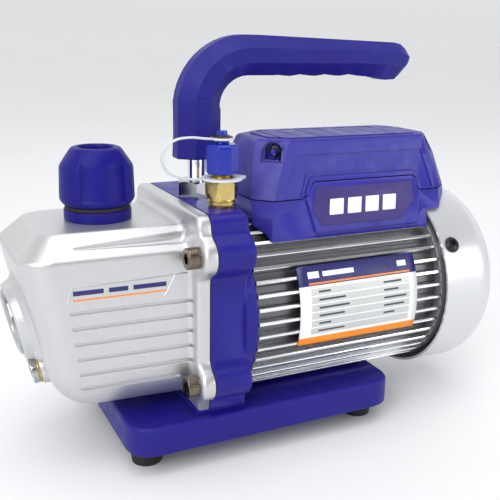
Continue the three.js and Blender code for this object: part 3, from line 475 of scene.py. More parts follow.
def sky():
    """Pale all round, dimmer high up on the near side, and as bright as the floor at the horizon."""
    world = bpy.data.worlds.new("studio")
    world.use_nodes = True
    tree = world.node_tree
    place = tree.nodes.new("ShaderNodeTexCoord")
    parts = tree.nodes.new("ShaderNodeSeparateXYZ")
    tree.links.new(place.outputs["Generated"], parts.inputs["Vector"])
    front = arithmetic(tree, "SUBTRACT", 1, parts.outputs["Y"])
    height = arithmetic(tree, "MULTIPLY", parts.outputs["Z"], front)
    level = map_range(tree, height, 0.2, 0.9, 1.0, 0.2)
    horizon = map_range(tree, parts.outputs["Z"], 0.03, 0.3, 0.757, 1.05)
    background = tree.nodes["Background"]
    background.inputs["Color"].default_value = (0.98, 0.99, 1, 1)
    tree.links.new(arithmetic(tree, "MULTIPLY", level, horizon), background.inputs["Strength"])
    bpy.context.scene.world = world


def aim_light(lamp, place):
    obj = in_scene(lamp.name, lamp)
    obj.location = place
    obj.rotation_euler = (AIM - Vector(place)).to_track_quat("-Z", "Y").to_euler()


def studio():
    solved_camera()
    sky()
    bpy.ops.mesh.primitive_plane_add(size=60)
    floor = bpy.context.object
    floor.name = "studio_floor"
    pale = surface("pale_floor", (0.86, 0.86, 0.87), 0, 0.6, mottle=0.01, mottle_scale=2, grain=0.02)
    floor.data.materials.append(pale)
    sun = bpy.data.lights.new("soft_sun", "SUN")
    sun.energy = 1.15
    sun.angle = radians(50)
    aim_light(sun, (-0.5, -0.6, 1.2))
    for name, place, size, power in LIGHTS:
        lamp = bpy.data.lights.new(name, "AREA")
        lamp.size = size
        lamp.energy = power
        aim_light(lamp, place)


# ---- base and feet ----
def base():
    x, y, z = span("base_plate")
    top, wall = 26.5, 3
    tray = slab("base_tray", rectangle(*x, *y, 15, 12), z[0], top, "z", 0.8, 2)
    inner = rectangle(x[0] + wall, x[1] - wall, y[0] + wall, y[1] - wall, 12, 10)
    cut(tray, slab("hollow", inner, z[0] - 2, top - wall, "z", 0, 1.5))
    fuse(
        tray,
        block("rib", (x[0] + 2, x[1] - 2), (-1.2, 1.2), (z[0] + 4, top - 2)),
        block("rib", (33, 35.4), (y[0] + 2, y[1] - 2), (z[0] + 4, top - 2)),
        slab("pad", rectangle(-7.4, 20.6, -45.6, 45.6, 2.5), top - 1, BRACKET_FOOT, "z", 0, 0.5),
        slab("pad", rectangle(34, 104, -24, 24, 4), top - 1, BRACKET_FOOT, "z", 0, 0.5),
    )
    for place in ("reservoir_near", "reservoir_far", "motor_near", "motor_far"):
        foot_x, foot_y, foot_z = span(f"foot_{place}")
        middle = (sum(foot_x) / 2, sum(foot_y) / 2, 0)
        fuse(tray, rod("boss", 8, z[0], top - 2, middle, UP))
        profile = [(0, 3.4), (0, 7.7), (1.6, 7.9), (9.6, 9), (11.4, 8.7), (11.4, 2.2), (6, 2.2), (6, 3.4)]
        foot = lathe(f"rubber_foot_{place}", rounded(profile, 0.6, 3), middle, UP, 48)
        piece(foot, "rubber", f"foot_{place}")
    piece(soften(tray, 0.4, 50, 2), "paint", "base_plate")


# ---- bracket and reservoir share an outline with four lugs ----
LUGS = {"upper_near": (-47.1, 108.8), "upper_far": (47.1, 108.8)}
LUGS |= {"lower_near": (-46, 43), "lower_far": (46, 43)}


def flange_outline():
    half = [(45.7, BRACKET_FOOT), (46.6, 33.5)]
    half += arc(46, 43, 8.6, -80, 66, 18)
    half += rounded([(49.5, 50.8), (46.7, 54.5), (46.6, 97), (50.4, 100)], 6, 6, closed=False)[1:-1]
    half += arc(47.5, 108.8, 9.17, -72, 64, 18)
    half += rounded([(51.5, 117), (48.6, 119), (47.5, 122)], 3, 4, closed=False)[1:-1]
    half += arc(41, BRACKET_TOP - 6.5, 6.5, 0, 90, 10)
    return mirrored(half)


def bracket():
    outline = flange_outline()
    body = slab("bracket_casting", outline, 0, 20, "x", 0.5, 2.2, 5)
    register = rounded([(18, 0), (18, 49.8), (24.9, 49.8), (24.9, 0)], 1.6, 5, closed=False)
    spigot = rod("spigot", 39.9, 24, 29, AXIS, ALONG, 96)
    fuse(body, lathe("register", register, AXIS, ALONG, 128), spigot)
    cut(
        body,
        block("under", (-10, 40), (-60, 60), (0, BRACKET_FOOT)),
        rod("bore", 7.2, -1, 40, AXIS, ALONG),
        rod("seal_pocket", 10.5, -1, 9, AXIS, ALONG),
        rod("bearing_pocket", 13, 17, 40, AXIS, ALONG),
        lathe("pocket", [(14, 17), (14, 36), (40, 36), (40, 17)], AXIS, ALONG),
        rod("port", 5.3, 112, 140, INLET, UP),
        rod("stud_hole", 4.7, 112.5, 140, STUD, UP),
        *(rod("hole", 3.1, -1, 13, (0, y, z), ALONG, 24) for y, z in LUGS.values()),
    )
    piece(soften(body, 0.5, 50, 2), "bracket", "pump_bracket")
    gasket = slab("joint_gasket", inset(outline, 0.3), -0.6, 0, "x")
    cavity = slab("cavity", rounded(reservoir_mouth(), 5), -2, 2, "x")
    piece(cut(gasket, cavity), "rubber", "reservoir_gasket")


def reservoir_mouth():
    return mirrored([(30, 37.2), (37.4, 48), (37.4, 100), (35.4, 109), (27.4, 117.8)])


FRONT_LEAN = radians(12.4)
FRONT_OUT = (-cos(FRONT_LEAN), 0, -sin(FRONT_LEAN))
GLASS = (-79.6, 0, 73.5)
DRAIN = (-71.2, 0, 46)
BOTTOM_TURN = 84  # degrees of the round bottom between its lowest line and the flank
BOTTOM_COS = cos(radians(BOTTOM_TURN))
FLANK_FOOT = 56
BOTTOM_DROP = 22
FLANGE = 7.1
FLARE = 3.2
GROOVE_HEIGHTS = (46.5, 54.5, 62.2, 70, 77.8, 85.5)
GROOVE_STEPS = (-1.2, -1.02, -0.9, -0.75, -0.6, -0.45, 0.45, 0.6, 0.75, 0.9, 1.02, 1.2)
GROOVE_DEPTH = 1


def side_half(x, z):
    """Half the reservoir's width on its flat flank, above the round bottom."""
    joint = 40.7 - 1.3 * (z - FLANK_FOOT) / 54
    return joint + (37 - joint) * min(1, max(0, (-x - 1) / 70))


def fade(value, low, high):
    """Runs smoothly from 0 at low to 1 at high."""
    t = min(1, max(0, (value - low) / (high - low)))
    return t * t * (3 - 2 * t)


def reservoir_levels():
    """(height, inward reach, share of the chamfer, tilt of the normal), upwards."""
    levels = []
    for i in range(33):
        turn = radians(BOTTOM_TURN / 32 * i)
        z = FLANK_FOOT - BOTTOM_DROP * (cos(turn) - BOTTOM_COS) / (1 - BOTTOM_COS)
        if min(abs(z - height) for height in GROOVE_HEIGHTS) > 1.35:
            levels.append((z, 0, 0, 0))
    levels += [(z + step, 0, 0, 0) for z in GROOVE_HEIGHTS for step in GROOVE_STEPS]
    levels += [(z, 0, 0, 0) for z in (58.4, 66, 74, 81.5, 89, 93, 97, 101, 105)]
    levels.sort()
    corner = rounded([(104, 0), (110, 0), (121, 11), (121, 17)], 3.6, 8, closed=False)
    (z0, d0), (z1, d1) = corner[9:11]
    levels += [(z, d, 0, 45 * (k + 1) / 9) for k, (z, d) in enumerate(corner[1:10])]
    levels += [(z0 + (z1 - z0) * k / 50, d0 + (d1 - d0) * k / 50, k / 50, 45) for k in range(1, 50)]
    levels += [(z, d, 1, 45 + 45 * k / 8) for k, (z, d) in enumerate(corner[10:-1])]
    return levels + [(121, d, 1, 90) for d in (15, 17, 20, 24, 29)]


def bottom_share(z):
    """0 at the lowest line of the round bottom, 1 where the flanks begin."""
    turn = acos(min(1, max(BOTTOM_COS, BOTTOM_COS + (FLANK_FOOT - z) / BOTTOM_DROP * (1 - BOTTOM_COS))))
    return (sin(turn) / sin(radians(BOTTOM_TURN))) ** 1.25


def groove_share(x, z):
    """1 on the floor of a flank groove, 0 outside, with rounded walls and ends."""
    for i, height in enumerate(GROOVE_HEIGHTS):
        near = abs(z - height)
        if near < 1.05:
            nose = fade(x, -61.4 - 0.9 * i, -60.4 - 0.9 * i)
            tail = fade(-x, 13.5, 14.5) if i == 0 else 1
            return nose * tail * (1 - fade(near, 0.5, 1))
    return 0


def flute_relief(x, share):
    """The tapering scoop along the chamfer, deepest at the joint flange."""
    t = min(1, max(0, (x + 62) / 52))
    if t == 0 or share in (0, 1):
        return 0
    reach = (share - 0.42 - 0.1 * t) / (0.05 + 0.23 * t)
    return 2.4 * t**0.6 * max(0, 1 - reach * reach) ** 0.8


def reservoir_skin(name):
    """The tapered box: round bottom, front that leans out, chamfer round the top, flare to the flange."""
    loops = []
    along = [-1, -FLANGE] + [-FLANGE - FLARE * (1 - cos(radians(15 * k))) for k in range(1, 7)]
    for z, inward, share, tilt in reservoir_levels():
        out = bottom_share(min(z, FLANK_FOOT))
        grow = max(0, min(z, 110) - FLANK_FOOT) / 54
        end = -58 - 17.3 * out - 11.9 * grow + inward
        half = 27 + 10 * out - inward
        joint = 31 + 9.7 * out - 1.3 * grow - inward
        radius = max(1.5, 8 + 4.5 * out + 3 * grow - 0.35 * inward)
        start = end + radius
        bend = max(-58, start + 0.5)
        xs = along + [along[-1] + (bend - along[-1]) * k / 40 for k in range(1, 41)]
        xs += [bend + (start - bend) * k / 30 for k in range(1, 31)]
        flank = []
        for x in xs:
            level = joint + (half - joint) * min(1, max(0, (-x - 1) / (-start - 1)))
            rise = -flute_relief(x, share)
            if x > -FLANGE - FLARE:
                rise += FLARE - sqrt(max(0, FLARE**2 - (x + FLANGE + FLARE) ** 2))
            sunk = groove_share(x, z)
            across = rise * (1 - sunk) * cos(radians(tilt)) - GROOVE_DEPTH * sunk
            flank.append((x, level + across, z + rise * sin(radians(tilt))))
        corner = arc(start, half - radius, radius, 90, 180, 14)[1:]
        loop = [(x, -y, h) for x, y, h in flank]
        loop += [(x, -y, z) for x, y in corner] + [(x, y, z) for x, y in reversed(corner)]
        loops.append(loop + flank[::-1])
    return loft(name, loops, across=True)


def reservoir_hollow():
    loops = []
    for z, end, half, radius in (
        (37.2, -60, 28, 6),
        (41, -64, 31.5, 8),
        (48, -68, 33.4, 9),
        (56, -71.8, 33.7, 9),
        (109, -83.6, 33.7, 9),
        (117.8, -75, 25, 4),
    ):
        near = arc(end + radius, -half + radius, radius, 180, 270, 8)
        flat = near + [(3, -half), (3, half)] + [(x, -y) for x, y in reversed(near)]
        loops.append([(x, y, z) for x, y in flat])
    return loft("hollow", loops)


PANEL_LINES = (
    ((-66.5, 91), (-64.2, 98.4), 0.45),
    ((-64.4, 98.2), (-8, 99.6), 0.45),
    ((-21, 89), (-15.4, 99.4), 0.3),
)


def panel_line(start, end, side, proud, width):
    """A thin raised line on the flank between two (x, z) points."""
    (x0, z0), (x1, z1) = start, end
    length = hypot(x1 - x0, z1 - z0)
    cross = (-(z1 - z0) / length * width, (x1 - x0) / length * width)
    loops = []
    for t in (i / 8 for i in range(9)):
        x, z = x0 + (x1 - x0) * t, z0 + (z1 - z0) * t
        flank = side_half(x, z)
        loop = [(-1, -1), (-1, 0), (0, proud), (1, 0), (1, -1)]
        loops.append([(x + cross[0] * a, side * (flank + out), z + cross[1] * a) for a, out in loop])
    return loft("line", loops)


def reservoir():
    body = reservoir_skin("reservoir_casting")
    cut(body, reservoir_hollow(), block("beyond", (-0.6, 6), (-60, 60), (20, 140)))
    cut(
        body,
        rod("glass_bore", 14.5, -8, 20, GLASS, FRONT_OUT, 64),
        rod("drain_bore", 5, -8, 20, DRAIN, FRONT_OUT),
        rod("neck_bore", 12.3, 110, 130, NECK, UP),
    )
    piece(body, "cast", "oil_reservoir", sharp=50)
    flange = slab("joint_flange", flange_outline(), -7.1, -0.6, "x", 2.4, 0.3, 6)
    inner = [(y, z) for y, z in mirrored([(29, 37), (38.6, 50), (38.6, 100), (36.6, 109), (27, 119.4)])]
    cut(
        flange,
        slab("mouth", rounded(inner, 5), -9, 2, "x"),
        *(rod("hole", 3.2, -9, 1, (0, y, z), ALONG, 24) for y, z in LUGS.values()),
    )
    piece(flange, "cast", like="oil_reservoir", sharp=40)
    boss = [(-3, 14.5), (-3, 25.5), (-0.6, 24.6), (2.2, 20.8), (6.5, 19.3), (6.5, 17), (3.1, 17), (3.1, 14.5)]
    boss = lathe("glass_boss", rounded(boss, 2, 5), GLASS, FRONT_OUT)
    rim = rounded([(-4, 5), (-4, 10.6), (-0.6, 10), (0.8, 8.4), (3.6, 8), (3.6, 5)], 0.8, 4)
    for raised in (boss, lathe("drain_boss", rim, DRAIN, FRONT_OUT)):
        piece(raised, "cast", like="oil_reservoir", sharp=45)
    for side, name in ((-1, "near"), (1, "far")):
        lines = [panel_line(start, end, side, 0.3, width) for start, end, width in PANEL_LINES]
        piece(join(f"panel_relief_{name}", lines), "cast", like="oil_reservoir")
    side_marks()


MARKS = (
    ("mark_bar_1", -64, -50, 94.2, 96.4, "navy"),
    ("mark_bar_2", -47.5, -38.5, 94.2, 96.4, "navy"),
    ("mark_bar_3", -36, -20, 94.2, 96.4, "navy"),
    ("mark_line", -64, -20, 91.6, 92.3, "orange"),
)


def side_marks():
    """Plain printed bars on the near flank."""
    for name, x0, x1, z0, z1, color in MARKS:
        edge = ((z0, -0.4), (z0, 0.1), (z1, 0.1), (z1, -0.4))
        loops = [[(x, -side_half(x, z) - out, z) for z, out in edge] for x in (x0, (x0 + x1) / 2, x1)]
        piece(loft(name, loops), color)


def hex_points(flats, turn=0.0):
    return [polar(flats / sqrt(3), 60 * i + turn) for i in range(6)]


def axis_place(origin, direction):
    """Maps an outline across an axis and a distance along it to a point."""
    axis = Vector(direction).normalized()
    across = axis.orthogonal().normalized()
    up = axis.cross(across)
    start = Vector(origin)
    return lambda u, v, w: tuple(start + across * u + up * v + axis * w)


def cap_screws():
    for name, (y, z) in LUGS.items():
        seat = (-FLANGE, y, z)
        profile = [(-6, 0), (-6, 5.3), (0, 5.3), (0, 3), (18, 3), (18, 0)]
        screw = lathe("cap_screw_" + name, rounded(profile, 0.5, 4, closed=False), seat, ALONG, 64)
        socket = slab("socket", hex_points(5), -7, -2.8, axis_place(seat, ALONG))
        rims = [polar(5.4, 360 * i / 28, y, z) for i in range(28)]
        flutes = [rod("flute", 0.28, -5.2, -0.6, (-FLANGE, *rim), ALONG, 8) for rim in rims]
        cut(screw, socket, *flutes)
        piece(screw, "screw", "reservoir_screw_" + name, sharp=40)


def sight_glass():
    pane = [(-1.5, 0), (-1.5, 14.4), (3.1, 14.4), (3.1, 16.8), (5.1, 16.8), (5.6, 12), (5.9, 6), (6, 0)]
    piece(lathe("level_glass", rounded(pane, 0.4, 3, closed=False), GLASS, FRONT_OUT), "glass", "sight_glass")
    rim = rounded([(5.7, 13), (5.1, 16.8), (7.3, 16.6), (8.1, 15.6), (7.2, 13.2)], 0.5, 4)
    piece(lathe("level_glass_rim", rim, GLASS, FRONT_OUT), "nut", "sight_glass_ring")
    washer = rounded([(3.6, 5.2), (3.6, 7.2), (4.6, 7.2), (4.6, 5.2)], 0.3, 3)
    piece(lathe("drain_seal", washer, DRAIN, FRONT_OUT, 48), "brass", "drain_washer")
    plug = [(-5, 0), (-5, 4.85), (4.6, 4.85), (4.6, 6.8), (7.8, 6.8), (7.8, 0)]
    plug = lathe("drain_screw", rounded(plug, 0.5, 4, closed=False), DRAIN, FRONT_OUT, 64)
    cut(plug, slab("socket", hex_points(6), 3.1, 12, axis_place(DRAIN, FRONT_OUT)))
    piece(plug, "nut", "drain_plug", sharp=40)


# ---- filler neck and exhaust cap ----
NECK = (-41.7, 0, 0)
RECESS_HALF = 41  # degrees to each side of the cap's shallower flanks
CAP_LEVELS = (  # height, reach of the pads, reach of the flanks
    (128.5, 15.6, 15.6), (128.6, 16.4, 16.0), (129.1, 17.0, 16.3), (130.2, 17.8, 16.9), (131.2, 18.3, 17.1),
    (131.6, 18.4, 16.7), (132.4, 18.4, 16.4), (146.2, 18.0, 16.0), (147.6, 17.7, 15.95), (148.8, 17.0, 15.8),
    (150.4, 15.95, 15.3), (152.2, 14.75, 14.4), (153.8, 13.65, 13.5), (155.2, 12.7, 12.7), (156, 11.9, 11.9),
    (156.4, 10.9, 10.9),
)


def cap_loop(z, pad, recess, steps=180):
    """One level of the cap: a round pad each end and a shallower recess each side."""
    loop = []
    for i in range(steps):
        angle = 360 * i / steps
        from_side = abs((angle % 180) - 90)
        share = fade(from_side, RECESS_HALF - 1.2, RECESS_HALF + 2.4)
        reach = recess + (pad - recess) * share
        loop.append((*polar(reach, angle, NECK[0]), z))
    return loop


def oil_cap():
    neck = rounded([(112, 11), (112, 12.2), (121, 12.2), (121, 16.6), (126.3, 16.6), (126.3, 11)], 0.7, 4)
    piece(lathe("filler_ring", neck, NECK, UP), "cap", "filler_neck")
    seal = rounded([(126.3, 11.2), (126.3, 16), (128.3, 16), (128.3, 11.2)], 0.5, 4)
    piece(lathe("cap_gasket", seal, NECK, UP), "rubber", "oil_cap_seal")
    body = loft("exhaust_cap", [cap_loop(*level) for level in CAP_LEVELS])
    fuse(body, rod("stem", 10.8, 112, 130, NECK, UP, 64))
    mouth = rounded([(147.5, 0), (148, 8), (155.6, 8.5), (160, 12), (160, 0)], 1.2, 5, closed=False)
    cut(body, lathe("mouth", mouth, NECK, UP), rod("passage", 5.5, 110, 150, NECK, UP))
    piece(body, "cap", "oil_cap", sharp=48)


# ---- suction fitting ----
INLET = (12.5, -29.5, 0)


def around_inlet(u, v, w):
    return (INLET[0] + u, INLET[1] + v, w)


def suction_fitting():
    grooves = []
    for z in (129.4, 131.2):
        grooves += [(z, 6.7), (z + 0.3, 6.2), (z + 0.7, 6.2), (z + 1.0, 6.7)]
    collar = [(112.5, 0), (112.5, 5.2), (128.2, 5.2), (128.2, 6.5)] + grooves
    collar += [(133, 6.5), (133, 0)]
    body = lathe("flare_fitting", collar, INLET, UP, 64)
    nut = slab("nut", hex_points(14.6, -7), 132.8, 141.8, around_inlet, 0, 0)
    crown = lathe("crown", [(131, 0), (131, 7.6), (140.4, 8.7), (142, 7.2), (143, 0)], INLET, UP, 64)
    combine("INTERSECT", nut, crown)
    neck = [(141, 0), (141, 4.6)]
    for i in range(9):
        neck += [(142 + i, 4.9), (142.5 + i, 5.5)]
    neck += [(151.6, 5.4), (154.2, 3.1), (154.2, 0)]
    fuse(body, nut, lathe("threads", neck, INLET, UP, 48))
    cut(body, rod("bore", 2.2, 110, 160, INLET, UP, 24))
    piece(body, "brass", "inlet_fitting", sharp=28)

    tip = rounded([(11, -3.6), (13.4, 0), (11, 3.6)], 1.4, 4, closed=False)[1:-1]
    tag = slab("strap_ring", arc(0, 0, 10.4, 28, 332, 44) + tip, 141.8, 143, around_inlet, 0.4, 0.4, 3)
    cut(tag, rod("hole", 5.7, 140, 145, INLET, UP))
    piece(tag, "strap", "strap_collar")
    eyelet = rounded([(161.2, 2.1), (161.2, 5.6), (162.4, 5.6), (162.4, 2.1)], 0.4, 4)
    piece(lathe("strap_eye", eyelet, INLET, UP, 48), "strap", "strap_eyelet")


def flare_cap():
    octagon = rounded([polar(8.5, degrees) for degrees in range(9, 360, 45)], 0.9, 4)
    levels = [(145, 0.9), (145.3, 0.95), (146, 0.985), (147, 1), (157, 1)]
    levels += [(158.2, 0.96), (159.1, 0.88), (159.5, 0.78)]
    body = loft("flare_cap_body", [[around_inlet(u * k, v * k, z) for u, v in octagon] for z, k in levels])
    knob = [(158.5, 0), (158.5, 4), (161, 3.4), (161, 1.9), (162.6, 1.9), (162.6, 2.9), (165.8, 2.5)]
    knob = lathe("knob", rounded(knob + [(165.8, 0)], 0.5, 4, closed=False), INLET, UP, 48)
    flats = slab("flats", hex_points(4.6), 161.8, 165.2, around_inlet, 0.3, 0.5, 3)
    fuse(body, knob, flats)
    cut(body, rod("socket", 5.7, 140, 155.6, INLET, UP))
    piece(soften(body, 0.35, 32, 2), "flare_cap", "inlet_cap")
    teeth = [polar(4.9 + 0.5 * (i % 2), 10 * i) for i in range(36)]
    levels = ((162.5, 1), (162.8, 1), (163.7, 0.5))
    washer = loft("push_washer", [[around_inlet(u * k, v * k, z) for u, v in teeth] for z, k in levels])
    cut(washer, rod("hole", 2.05, 160, 166, INLET, UP))
    piece(washer, "bronze", body="inlet_cap_body", sharp=20)


def strap():
    y = INLET[1]
    points = [(INLET[0] - 5.5, 161.8), (3, 162.2), (-3.2, 162.9), (-9.6, 162.5), (-13.8, 160.8)]
    points += [(-17.2, 157.6), (-18.3, 153.6), (-17.2, 149.6), (-14.4, 146.3), (-10, 144.2), (-4.5, 143)]
    points.append((INLET[0] - 10, 142.4))
    knots = [Vector((x, z)) for x, z in points]
    ends = [2 * knots[0] - knots[1]] + knots + [2 * knots[-1] - knots[-2]]
    route = []
    for i in range(1, len(ends) - 2):
        a, b, c, d = ends[i - 1 : i + 3]
        for k in range(6):
            t = k / 6
            bend = (2 * a - 5 * b + 4 * c - d) * t**2 + (3 * b - a - 3 * c + d) * t**3
            route.append(0.5 * (2 * b + (c - a) * t + bend))
    route.append(knots[-1])
    loops = []
    for i, here in enumerate(route):
        ahead = route[min(i + 1, len(route) - 1)] - route[max(i - 1, 0)]
        ahead.normalize()
        side = Vector((-ahead.y, ahead.x))
        loop = []
        for u, v in arc(0, 0, 1, 0, 360, 12)[:-1]:
            spot = here + side * 0.62 * v
            loop.append((spot.x, y + 1.15 * u, spot.y))
        loops.append(loop)
    tether = loft("cap_tether", loops)
    tether.data.materials.append(MATERIALS["strap"])
    tether.data.shade_smooth()
    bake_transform(tether)
    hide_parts("cap_strap")


# ---- handle ----
STUD = (10.8, 0, 0)
GRIP_HEEL = (
    (128.5, 199.6, 0.1, 0.99, 8.4, 12.2, 9.8),
    (132.5, 198.8, 0.16, 0.98, 8.4, 11.4, 9.4),
    (136, 198.6, 0.25, 0.97, 6.2, 9.2, 8.2),
    (138.6, 198.8, 0.3, 0.95, 3.4, 5.6, 6),
)


def grip_loop(x, z, out_x, out_z, top, bottom, half, bevel=0.36):
    """An eight-sided section: top and bottom are its reach along and against the outer direction."""
    t, b, d = top * bevel, bottom * bevel, half * bevel
    flat = [(t, -half), (-b, -half), (-bottom, -d), (-bottom, d), (-b, half), (t, half), (top, d), (top, -d)]
    return [(x + out_x * u, v, z + out_z * u) for u, v in flat]


def handle():
    x = STUD[0]
    loops = [grip_loop(x, 148.5, -1, 0, 11.3, 11.3, 9.6), grip_loop(x + 0.1, 149.2, -1, 0, 11.8, 11.8, 10)]
    loops += [grip_loop(x + 0.5, z, -1, 0, 11.7, 11.7, 10) for z in (160, 170, 172.8)]
    for i in range(1, 15):
        angle = pi - i / 14 * pi / 2
        out = (cos(angle), sin(angle))
        reach = 11.6 - 1.4 * i / 14
        loops.append(grip_loop(x + 27 + 27 * out[0], 173.3 + 27 * out[1], *out, reach, reach, 10))
    for i in range(27):
        along = 44 + 3.1 * i
        bumps = 0.55 * cos((along - 62) / 15.5 * 2 * pi) if along > 54 else 0
        swell = 2.4 / (1 + exp((114 - along) / 2.4))
        top = 10.2 - 0.03 * (along - 44)
        loops.append(grip_loop(along, 200.3, 0, 1, top, 10.2 + bumps * 0.8 + swell, 10))
    body = loft("carry_grip", loops + [grip_loop(*level) for level in GRIP_HEEL])
    seam = cut(
        slab("seam", rectangle(-6, 30, -14, 14), 179.1, 179.5, "z"),
        slab("core", rounded(rectangle(x - 10.6, x + 12.4, -9.75, 9.75), 4), 178, 181, "z"),
    )
    cut(body, rod("stud_hole", 4.7, 140, 166, STUD, UP), seam)
    piece(soften(body, 1, 22, 4), "grip", "handle_grip")
    stud = rounded([(113, 0), (113, 4.6), (165.5, 4.6), (165.5, 0)], 0.6, 4, closed=False)
    piece(lathe("grip_stud", stud, STUD, UP, 64), "chrome", "handle_stud")
    nut = slab("lock_nut", hex_points(18, 10), BRACKET_TOP, 136.8, lambda u, v, w: (x + u, v, w))
    crown = [(120, 0), (128.2, 9.7), (129.2, 10.5), (135.8, 10.5), (136.9, 9), (137, 0)]
    combine("INTERSECT", nut, lathe("crown", crown, STUD, UP, 64))
    cut(nut, rod("hole", 4.65, 120, 140, STUD, UP))
    piece(soften(nut, 0.3, 25, 3), "nut", "handle_nut")


# ---- motor ----
FINS = 44
FIN_HALF = [(0.7, 50), (1.1, 49.6), (1.5, 44.8), (2.1, 44.4)]  # degrees from the fin's middle, radius
FIN_PROFILE = [(-offset, radius) for offset, radius in FIN_HALF[::-1]] + FIN_HALF


def motor():
    (x0, x1), _, _ = span("motor_housing")
    outline = []
    for i in range(FINS):
        middle = i * 360 / FINS - 0.8
        outline += [polar(radius, middle + offset, 0, SHAFT_Z) for offset, radius in FIN_PROFILE]
    housing = slab("finned_housing", outline, x0, x1, "x")
    foot = block("foot", (x0 - 1, x1 + 1), (-60, 60), (0, BRACKET_FOOT))
    cut(housing, rod("bore", 40.2, 0, 200, AXIS, ALONG, 96), foot)
    piece(housing, ("fins", "fin_gap_painted_shade"), "motor_housing", sharp=25)
    # Faces on the valley floors between the fins take the second slot, the dark painted shade between the
    # fins.
    for face in housing.data.polygons:
        reach = hypot(face.center.y, face.center.z - SHAFT_Z / 1000)
        face.material_index = 1 if 0.043 < reach < 0.0453 and abs(face.normal.x) < 0.5 else 0


def radial(degrees):
    angle = radians(degrees)
    return (0, -cos(angle), sin(angle))


COVER_SCREWS = (32, 148, 270)
COVER_SEAT = (146.5, 0, SHAFT_Z)


def fan_cover():
    (x0, x1), _, _ = span("fan_cover")
    outer = [(x0, 54.4), (164, 54.4)]
    outer += [(164 + 16 * sin(a), 38.4 + 16 * cos(a)) for a in (pi / 2 * i / 14 for i in range(1, 14))]
    outer += [(x1 - 2.6, 38), (x1 - 1.2, 36.4), (x1, 34.6), (x1, 0)]
    inner = [(u - (1.3 if u > 150 else 0), r - (1.3 if r > 30 else 0)) for u, r in reversed(outer)]
    inner[-2] = (163, 53.1)
    body = lathe("fan_cowl", outer + inner, AXIS, ALONG, 144)
    holes = []
    for i in range(12):
        a = radians(30 * i)
        slot = rectangle(13, 33, -1.8, 1.8, 1.79, 6)
        turned = [(u * cos(a) - v * sin(a), SHAFT_Z + u * sin(a) + v * cos(a)) for u, v in slot]
        holes.append(slab("slot", turned, x1 - 5, x1 + 5, "x"))
    holes += [rod("hole", 2.3, 50, 60, COVER_SEAT, radial(d), 24) for d in COVER_SCREWS]
    cut(body, *holes)
    piece(body, "cowl", "fan_cover", sharp=30)
    for i, degrees in enumerate(COVER_SCREWS):
        profile = [(45, 0), (45, 2), (54.4, 2), (54.4, 4.5), (55.3, 4.5), (55.6, 4.1), (56.6, 3.2), (57.1, 0)]
        profile = rounded(profile, 0.4, 4, closed=False)
        screw = lathe(f"cowl_screw_{i + 1}", profile, COVER_SEAT, radial(degrees), 48)
        place = axis_place(COVER_SEAT, radial(degrees))
        for wide, deep in ((2.2, 0.45), (0.45, 2.2)):
            cut(screw, slab("cross", rectangle(-wide, wide, -deep, deep), 55.7, 60, place))
        piece(screw, "gloss_black", f"cover_screw_{i + 1}", sharp=35)


def end_shield():
    disc = [(139.02, 39.9), (139.02, 49.6), (144, 49.6), (144, 8), (139, 8), (134, 13.2), (134, 39.9)]
    shield = lathe("shield_disc", rounded(disc, 0.6, 3), AXIS, ALONG)
    limit = lathe("limit", [(130, 0), (130, 52.6), (160, 52.6), (160, 0)], AXIS, ALONG)
    arms = [rod("arm", 6.4, 41, 56, COVER_SEAT, radial(d)) for d in COVER_SCREWS]
    for arm in arms:
        combine("INTERSECT", arm, duplicate(limit))
    bpy.data.objects.remove(limit)
    fuse(shield, *arms)
    middles = [(0, 27 * cos(a), SHAFT_Z + 27 * sin(a)) for a in (0.785, 2.356, 3.927, 5.498)]
    cut(
        shield,
        lathe("pocket", [(133, 17), (133, 36), (141, 36), (141, 17)], AXIS, ALONG),
        rod("bearing_pocket", 13, 130, 142, AXIS, ALONG),
        *(rod("vent", 6.5, 130, 160, middle, ALONG) for middle in middles),
        *(rod("hole", 2.2, 44, 60, COVER_SEAT, radial(d), 24) for d in COVER_SCREWS),
    )
    piece(shield, "shield", "rear_end_shield")


